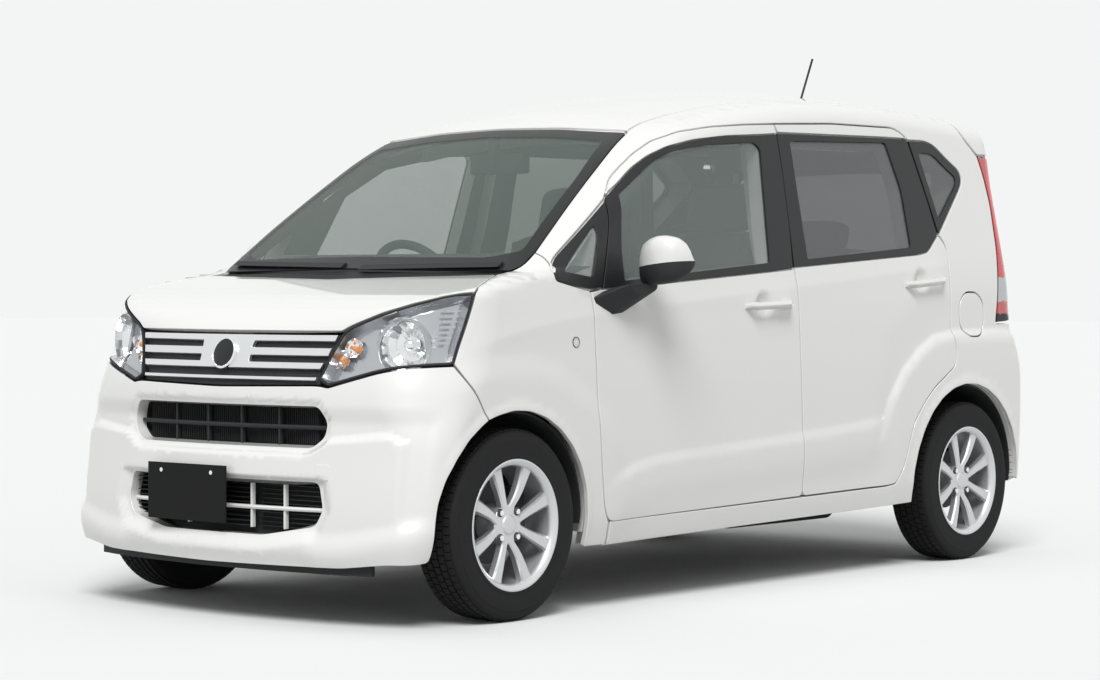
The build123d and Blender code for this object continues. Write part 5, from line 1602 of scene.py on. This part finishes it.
def build_handles():
    section = [(7 * math.copysign(abs(math.cos(t)) ** 0.6, math.cos(t)),
                13 * math.copysign(abs(math.sin(t)) ** 0.7, math.sin(t)))
               for t in [2 * math.pi * i / 20 for i in range(20)]]
    for stem, start, end, low, high, lock in HANDLES:
        sheet = Sheet()
        share = np.linspace(0, 1, 29)
        flat = np.stack([start + (end - start) * share, low + (high - low) * share], 1)
        path = VIEWS["S"].lift(flat)
        path[:, 1] = np.linspace(path[0, 1], path[-1, 1], len(path))
        outs = np.tile(OUTWARD, (len(path), 1))
        proud = 2 + 20 * ramp(share, 0, 0.16) * ramp(share, 1, 0.86)
        swell = 1 + (0.45 * ramp(share, 0.6, 0.72) if lock else 0.0)
        tips = 0.45 + 0.55 * ramp(share, 0, 0.07) * ramp(share, 1, 0.93)
        sweep(sheet, list(path + outs * proud[:, None]),
              [(o, UP * s * t) for o, s, t in zip(outs, np.broadcast_to(swell, share.shape), tips)], section, 0)
        if lock:
            centre = path[25] + OUTWARD * (proud[25] + 6)
            turned(sheet, [(0, 8.5), (1.6, 8), (2, 6.5), None, (0.6, 6), (0.8, 0)], centre, OUTWARD, 1, 24)
        for hand, side_name, letter in SIDES:
            piece(f"{stem}_handle_{side_name}", sheet, [paint(), satin_silver()], f"{stem}_{letter}",
                  right=hand < 0)


def build_side_fittings():
    point, out = on_body("S", *REPEATER)
    sheet = Sheet()
    turned(sheet, [(-2, 16), (1.5, 16), (2.2, 14.5)], point, out, 0, 32)
    turned(sheet, [(2, 14.5), (4.5, 11), (5.8, 5), (6, 0)], point, out, 1, 32)
    add_mirrored(sheet)
    piece("side_repeaters", sheet, [black_trim(), lens()], "body")
    flap = Sheet()
    plate(flap, VIEWS["S"], [line(FUEL_HOLE)], gap=user_size("shut_gap"), pitch=14.0)
    back(flap, VIEWS["S"], [line(FUEL_HOLE)], depth=10.0, inset=user_size("shut_gap"))
    piece("fuel_flap_skin", flap, [paint()], "fuel_flap", ["fuel_flap"])


# ---- Pieces: cabin ------------------------------------------------------------------------
FRONT_CUSHION = [(-205, 452), (300, 452), (330, 500), (312, 578), (240, 608), (80, 596), (-90, 588),
                 (-190, 596)]
FRONT_BACK = [(-236, 490), (-180, 520), (-128, 612), (-152, 700), (-220, 900), (-288, 1120), (-330, 1148),
              (-382, 1130), (-320, 860), (-252, 610)]
FRONT_HEADREST = [(-302, 1135), (-322, 1220), (-335, 1285), (-362, 1308), (-408, 1298), (-423, 1240),
                  (-400, 1175), (-372, 1128)]
REAR_CUSHION = [(-930, 450), (-432, 450), (-408, 500), (-422, 576), (-500, 606), (-660, 602), (-790, 598),
                (-900, 560)]
REAR_BACK = [(-935, 560), (-850, 560), (-806, 610), (-850, 700), (-900, 880), (-952, 1076), (-985, 1098),
             (-1036, 1078), (-1000, 860), (-955, 640)]
REAR_HEADREST = [(-952, 1074), (-975, 1165), (-1000, 1192), (-1046, 1188), (-1058, 1150), (-1032, 1074)]
# Pads: name, side outline, middle, width, crown at the ends, seams across as shares of half the width.
PADS = (
    ("front_cushion", FRONT_CUSHION, 325, 480, 46, (-0.6, 0.6)),
    ("front_backrest", FRONT_BACK, 325, 470, 44, (-0.58, 0.58)),
    ("front_headrest", FRONT_HEADREST, 325, 256, 34, ()),
    ("rear_cushion", REAR_CUSHION, 272, 536, 34, (-0.66, 0, 0.66)),
    ("rear_backrest", REAR_BACK, 272, 536, 34, (-0.66, 0, 0.66)),
    ("rear_headrest", REAR_HEADREST, 270, 250, 30, ()),
)


def pad_mesh(name, outline_points, middle, width, crown, seams):
    """A crowned closed pad: its side outline carried across, drawn in towards its ends and along its seams."""
    loop = np.array(outline_points, float)
    for _ in range(3):
        following = np.roll(loop, -1, axis=0)
        loop = np.stack([loop * 0.75 + following * 0.25, loop * 0.25 + following * 0.75], 1).reshape(-1, 2)
    along = np.roll(loop, -1, axis=0) - np.roll(loop, 1, axis=0)
    across = np.stack([-along[:, 1], along[:, 0]], 1) / np.linalg.norm(along, axis=1)[:, None]
    inwards = across if inside(loop + across * 3, loop).mean() > 0.5 else -across
    depth = np.array([next((step for step in range(4, 400, 4)
                            if not inside((point + aside * step)[None], loop)[0]), 400) for point,
                      aside in zip(loop, inwards)], float)
    depth = 0.36 * sum(np.roll(depth, turn) for turn in range(-6, 7)) / 13
    stations = np.sin(np.linspace(-math.pi / 2, math.pi / 2, 33))
    stations = np.unique(np.concatenate([stations,
                                         [s + d for s in seams for d in (-0.04, -0.015, 0, 0.015,
                                                                         0.04)]]).round(4))
    shape = bmesh.new()
    rings = []
    for t in stations:
        draw = crown * (1 - math.sqrt(max(0.0, 1 - abs(t) ** 3.2)))
        draw += sum(5.0 * math.exp(-((t - s) / 0.018) ** 2) for s in seams)
        ring = loop + inwards * np.minimum(min(draw, crown), depth)[:, None]
        rings.append([shape.verts.new(Vector((x, middle + t * width / 2, z)) * MM) for x, z in ring])
    count = len(loop)
    for near, far in zip(rings[:-1], rings[1:]):
        for i in range(count):
            shape.faces.new((near[i], near[(i + 1) % count], far[(i + 1) % count], far[i]))
    for ring, t in ((rings[0], -1), (rings[-1], 1)):
        centre = shape.verts.new(sum((v.co for v in ring), Vector()) / count + Vector((0, t * 0.003, 0)))
        for i in range(count):
            shape.faces.new((ring[i], ring[(i + 1) % count], centre))
    bmesh.ops.recalc_face_normals(shape, faces=shape.faces)
    mesh = bpy.data.meshes.new(name)
    shape.to_mesh(mesh)
    shape.free()
    mesh.shade_smooth()
    return mesh


def build_seats():
    fabric = seat_cloth()
    for name, points, middle, width, crown, seams in PADS:
        for hand, side_name, _ in SIDES:
            label = f"{name}_{side_name}"
            mesh = pad_mesh(label, points, middle * hand, width, crown, seams)
            mesh.materials.append(fabric)
            pad = adopt(label, mesh, "body", ["seats"])
    posts = Block()
    for x, z, middle in ((-352, 1110, 325), (-1000, 1060, 270)):
        for y in (-52, 52):
            posts.rod((x, middle + y, z - 20), (x - 8, middle + y, z + 60), 6.0, 0, 0, 16)
    posts.piece("headrest_posts", [chrome()], "body", "alloy", both=True)


# ---- Kept pieces --------------------------------------------------------------------------
def dress_kept_pieces():
    """Give each CAD piece that stays in view its own finish."""
    finishes = ((dark_metal(), ("floor_pan", "rear_panel", "front_subframe", "rear_axle", "knuckle_left",
                                "knuckle_right")), (cast_alloy(), ("engine", "radiator")),
                (exhaust_steel(), ("exhaust",)),
                (black_trim(), ("fuel_tank", "wheel_liners", "antenna", "wipers", "interior_mirror")),
                (dash_grain(), ("dashboard", "steering_wheel")),)
    for material, names in finishes:
        for name in names:
            slots = bpy.data.objects[name].material_slots
            for slot in slots:
                slot.material = material


# ---- Stage --------------------------------------------------------------------------------
SURROUND, FLOOR_BOUNCE = 0.45, (0.42, 0.42, 0.42)
SUN_AIM, SUN_SPREAD = (-0.50, -0.38, -0.78), 28
FLOOR_REACH = 60.0
# Camera: focal length and centre of view in picture elements, its place in metres, heading and tilt in radians.
PICTURE, FOCAL, VIEW_CENTRE = (1100, 680), 2793.6, (448.56, 347.24)
SENSOR, CAMERA_PLACE, CAMERA_YAW, CAMERA_TILT = 36.0, (7.2428, 5.8830, 0.9598), -2.4134, -0.0219


def build_stage():
    scene = bpy.context.scene
    look = scene.hatch_colours
    world = bpy.data.worlds.new("studio")
    scene.world = world
    world.use_nodes = True
    nodes, links = world.node_tree.nodes, world.node_tree.links
    nodes.clear()
    plain = nodes.new("ShaderNodeBackground")
    plain.inputs["Color"].default_value = (1, 1, 1, 1)
    plain.inputs["Strength"].default_value = SURROUND
    seen = nodes.new("ShaderNodeBackground")
    seen.inputs["Color"].default_value = (*look.backdrop, 1)
    seen.inputs["Strength"].default_value = 1.0
    path = nodes.new("ShaderNodeLightPath")
    shown = path.outputs["Is Camera Ray"]
    for ray in ("Is Transmission Ray", "Is Glossy Ray"):
        either = nodes.new("ShaderNodeMath")
        either.operation = "MAXIMUM"
        links.new(shown, either.inputs[0])
        links.new(path.outputs[ray], either.inputs[1])
        shown = either.outputs[0]
    mixer = nodes.new("ShaderNodeMixShader")
    links.new(shown, mixer.inputs["Fac"])
    links.new(plain.outputs[0], mixer.inputs[1])
    links.new(seen.outputs[0], mixer.inputs[2])
    out = nodes.new("ShaderNodeOutputWorld")
    links.new(mixer.outputs[0], out.inputs["Surface"])

    mesh = bpy.data.meshes.new("studio_floor")
    corners = [(FLOOR_REACH * x, FLOOR_REACH * y, 0) for x, y in ((-1, -1), (1, -1), (1, 1), (-1, 1))]
    mesh.from_pydata(corners, [], [(0, 1, 2, 3)])
    floor = bpy.data.objects.new("studio_floor", mesh)
    scene.collection.objects.link(floor)
    material = finish("studio_floor_grey", tuple(look.floor), 0.95, mottle=0.004, mottle_scale=0.5)
    tree = material.node_tree
    ray, dull = tree.nodes.new("ShaderNodeLightPath"), tree.nodes.new("ShaderNodeMix")
    dull.data_type = "RGBA"
    dull.inputs["B"].default_value = (*FLOOR_BOUNCE, 1)
    base = tree.nodes["Principled BSDF"].inputs["Base Color"]
    tree.links.new(base.links[0].from_socket, dull.inputs["A"])
    tree.links.new(ray.outputs["Is Diffuse Ray"], dull.inputs["Factor"])
    tree.links.new(dull.outputs["Result"], base)
    mesh.materials.append(material)

    light = bpy.data.lights.new("sun", "SUN")
    light.energy = scene.hatch_sizes.sun
    light.angle = math.radians(SUN_SPREAD)
    lamp = bpy.data.objects.new("sun", light)
    lamp.rotation_euler = Vector(SUN_AIM).to_track_quat("-Z", "Y").to_euler()
    scene.collection.objects.link(lamp)

    camera_data = bpy.data.cameras.new("camera")
    camera_data.sensor_width = SENSOR
    camera_data.lens = FOCAL / PICTURE[0] * SENSOR
    camera_data.shift_x = (PICTURE[0] / 2 - VIEW_CENTRE[0]) / PICTURE[0]
    camera_data.shift_y = (VIEW_CENTRE[1] - PICTURE[1] / 2) / PICTURE[0]
    camera_data.clip_end = 200
    camera = bpy.data.objects.new("camera", camera_data)
    camera.location = CAMERA_PLACE
    level = math.cos(CAMERA_TILT)
    forward = Vector((math.cos(CAMERA_YAW) * level, math.sin(CAMERA_YAW) * level, math.sin(CAMERA_TILT)))
    camera.rotation_euler = forward.to_track_quat("-Z", "Y").to_euler()
    scene.collection.objects.link(camera)
    scene.camera = camera
    scene.view_settings.view_transform = "Standard"


# ---- Add-on -------------------------------------------------------------------------------
class HatchSizes(bpy.types.PropertyGroup):
    shut_gap: bpy.props.FloatProperty(
        name="Shut gap",
        description="How far each panel stays back from its shut line, half of the gap between two",
        subtype="DISTANCE", unit="LENGTH", min=0.0005, max=0.005, precision=4, default=0.0026)
    nut_circle: bpy.props.FloatProperty(
        name="Nut circle", description="Radius of the circle that the wheel nuts stand on",
        subtype="DISTANCE", unit="LENGTH", min=0.04, max=0.06, precision=4, default=0.051)
    tread_blocks: bpy.props.IntProperty(
        name="Tread blocks", description="Blocks round each rib of the tread", min=12, max=120, default=72)
    sun: bpy.props.FloatProperty(
        name="Sun strength", description="Strength of the lamp above the car", min=0, max=10, default=2.5)


class HatchColours(bpy.types.PropertyGroup):
    paint: bpy.props.FloatVectorProperty(
        name="Body paint", description="Colour of the painted panels", subtype="COLOR", size=3, min=0, max=1,
        default=(0.82, 0.82, 0.80))
    trim: bpy.props.FloatVectorProperty(
        name="Plastic trim", description="Colour of the grained black plastic", subtype="COLOR", size=3, min=0,
        max=1,
        default=(0.028, 0.029, 0.031))
    backdrop: bpy.props.FloatVectorProperty(
        name="Backdrop", description="Colour seen behind the car", subtype="COLOR", size=3, min=0, max=1,
        default=(0.896, 0.913, 0.905))
    floor: bpy.props.FloatVectorProperty(
        name="Floor", description="Colour of the studio floor", subtype="COLOR", size=3, min=0, max=1,
        default=(0.842, 0.858, 0.850))


def operator(label, doc, *builders):
    """An operator class that runs some builders in order."""
    key = label.replace(" ", "_")

    def execute(self, context):
        for build in builders:
            build()
        return {"FINISHED"}

    return type(f"HATCH_OT_{key}", (bpy.types.Operator,), {
        "bl_idname": f"hatch.{key}", "bl_label": f"Add {label}", "__doc__": doc,
        "bl_options": {"REGISTER", "UNDO"}, "execute": execute,
    })


OPERATORS = [
    operator("body sides", "Add the sills, quarters, roof rails and their inner frames.", build_body_sides,
             build_fenders, build_window_surrounds),
    operator("doors", "Add the four doors with sashes, panes and linings.", build_doors),
    operator("roof and screen", "Add the roof panel, windscreen, bonnet and cowl.", build_roof,
             build_windscreen, build_bonnet),
    operator("front bumper", "Add the front bumper, its intakes and the blank plate.", build_front_bumper),
    operator("rear bumper", "Add the rear bumper.", build_rear_bumper),
    operator("tailgate", "Add the tailgate and its glass.", build_tailgate),
    operator("grille", "Add the silver grille bars and the blank badge.", build_grille),
    operator("headlamps", "Add the headlamps with their reflectors and ribs.", build_headlamps),
    operator("tail lamps", "Add the tail lamps.", build_tail_lamps),
    operator("wheels", "Add the four wheels, tyres, discs and nuts.", build_wheels),
    operator("door mirrors", "Add the two door mirrors.", build_mirrors),
    operator("door handles", "Add the four pull handles.", build_handles),
    operator("side fittings", "Add the fuel flap and the side repeaters.", build_side_fittings),
    operator("seats", "Add the padded seats and headrests.", build_seats),
    operator("kept pieces", "Finish the pieces that stay as they are.", dress_kept_pieces),
    operator("stage", "Add the floor, lights, backdrop and camera.", build_stage),
]


class HATCH_PT_panel(bpy.types.Panel):
    bl_label = "Tall Hatchback"
    bl_space_type = "VIEW_3D"
    bl_region_type = "UI"
    bl_category = "Hatchback"

    def draw(self, context):
        for group in (context.scene.hatch_sizes, context.scene.hatch_colours):
            for name in type(group).__annotations__:
                self.layout.prop(group, name)
        for item in OPERATORS:
            self.layout.operator(item.bl_idname)


CLASSES = [HatchSizes, HatchColours, *OPERATORS, HATCH_PT_panel]


def register():
    for item in CLASSES:
        bpy.utils.register_class(item)
    bpy.types.Scene.hatch_sizes = bpy.props.PointerProperty(type=HatchSizes)
    bpy.types.Scene.hatch_colours = bpy.props.PointerProperty(type=HatchColours)


def unregister():
    del bpy.types.Scene.hatch_colours, bpy.types.Scene.hatch_sizes
    for item in reversed(CLASSES):
        bpy.utils.unregister_class(item)


def main():
    register()
    for item in OPERATORS:
        group, name = item.bl_idname.split(".")
        getattr(getattr(bpy.ops, group), name)()


if __name__ == "__main__":
    main()
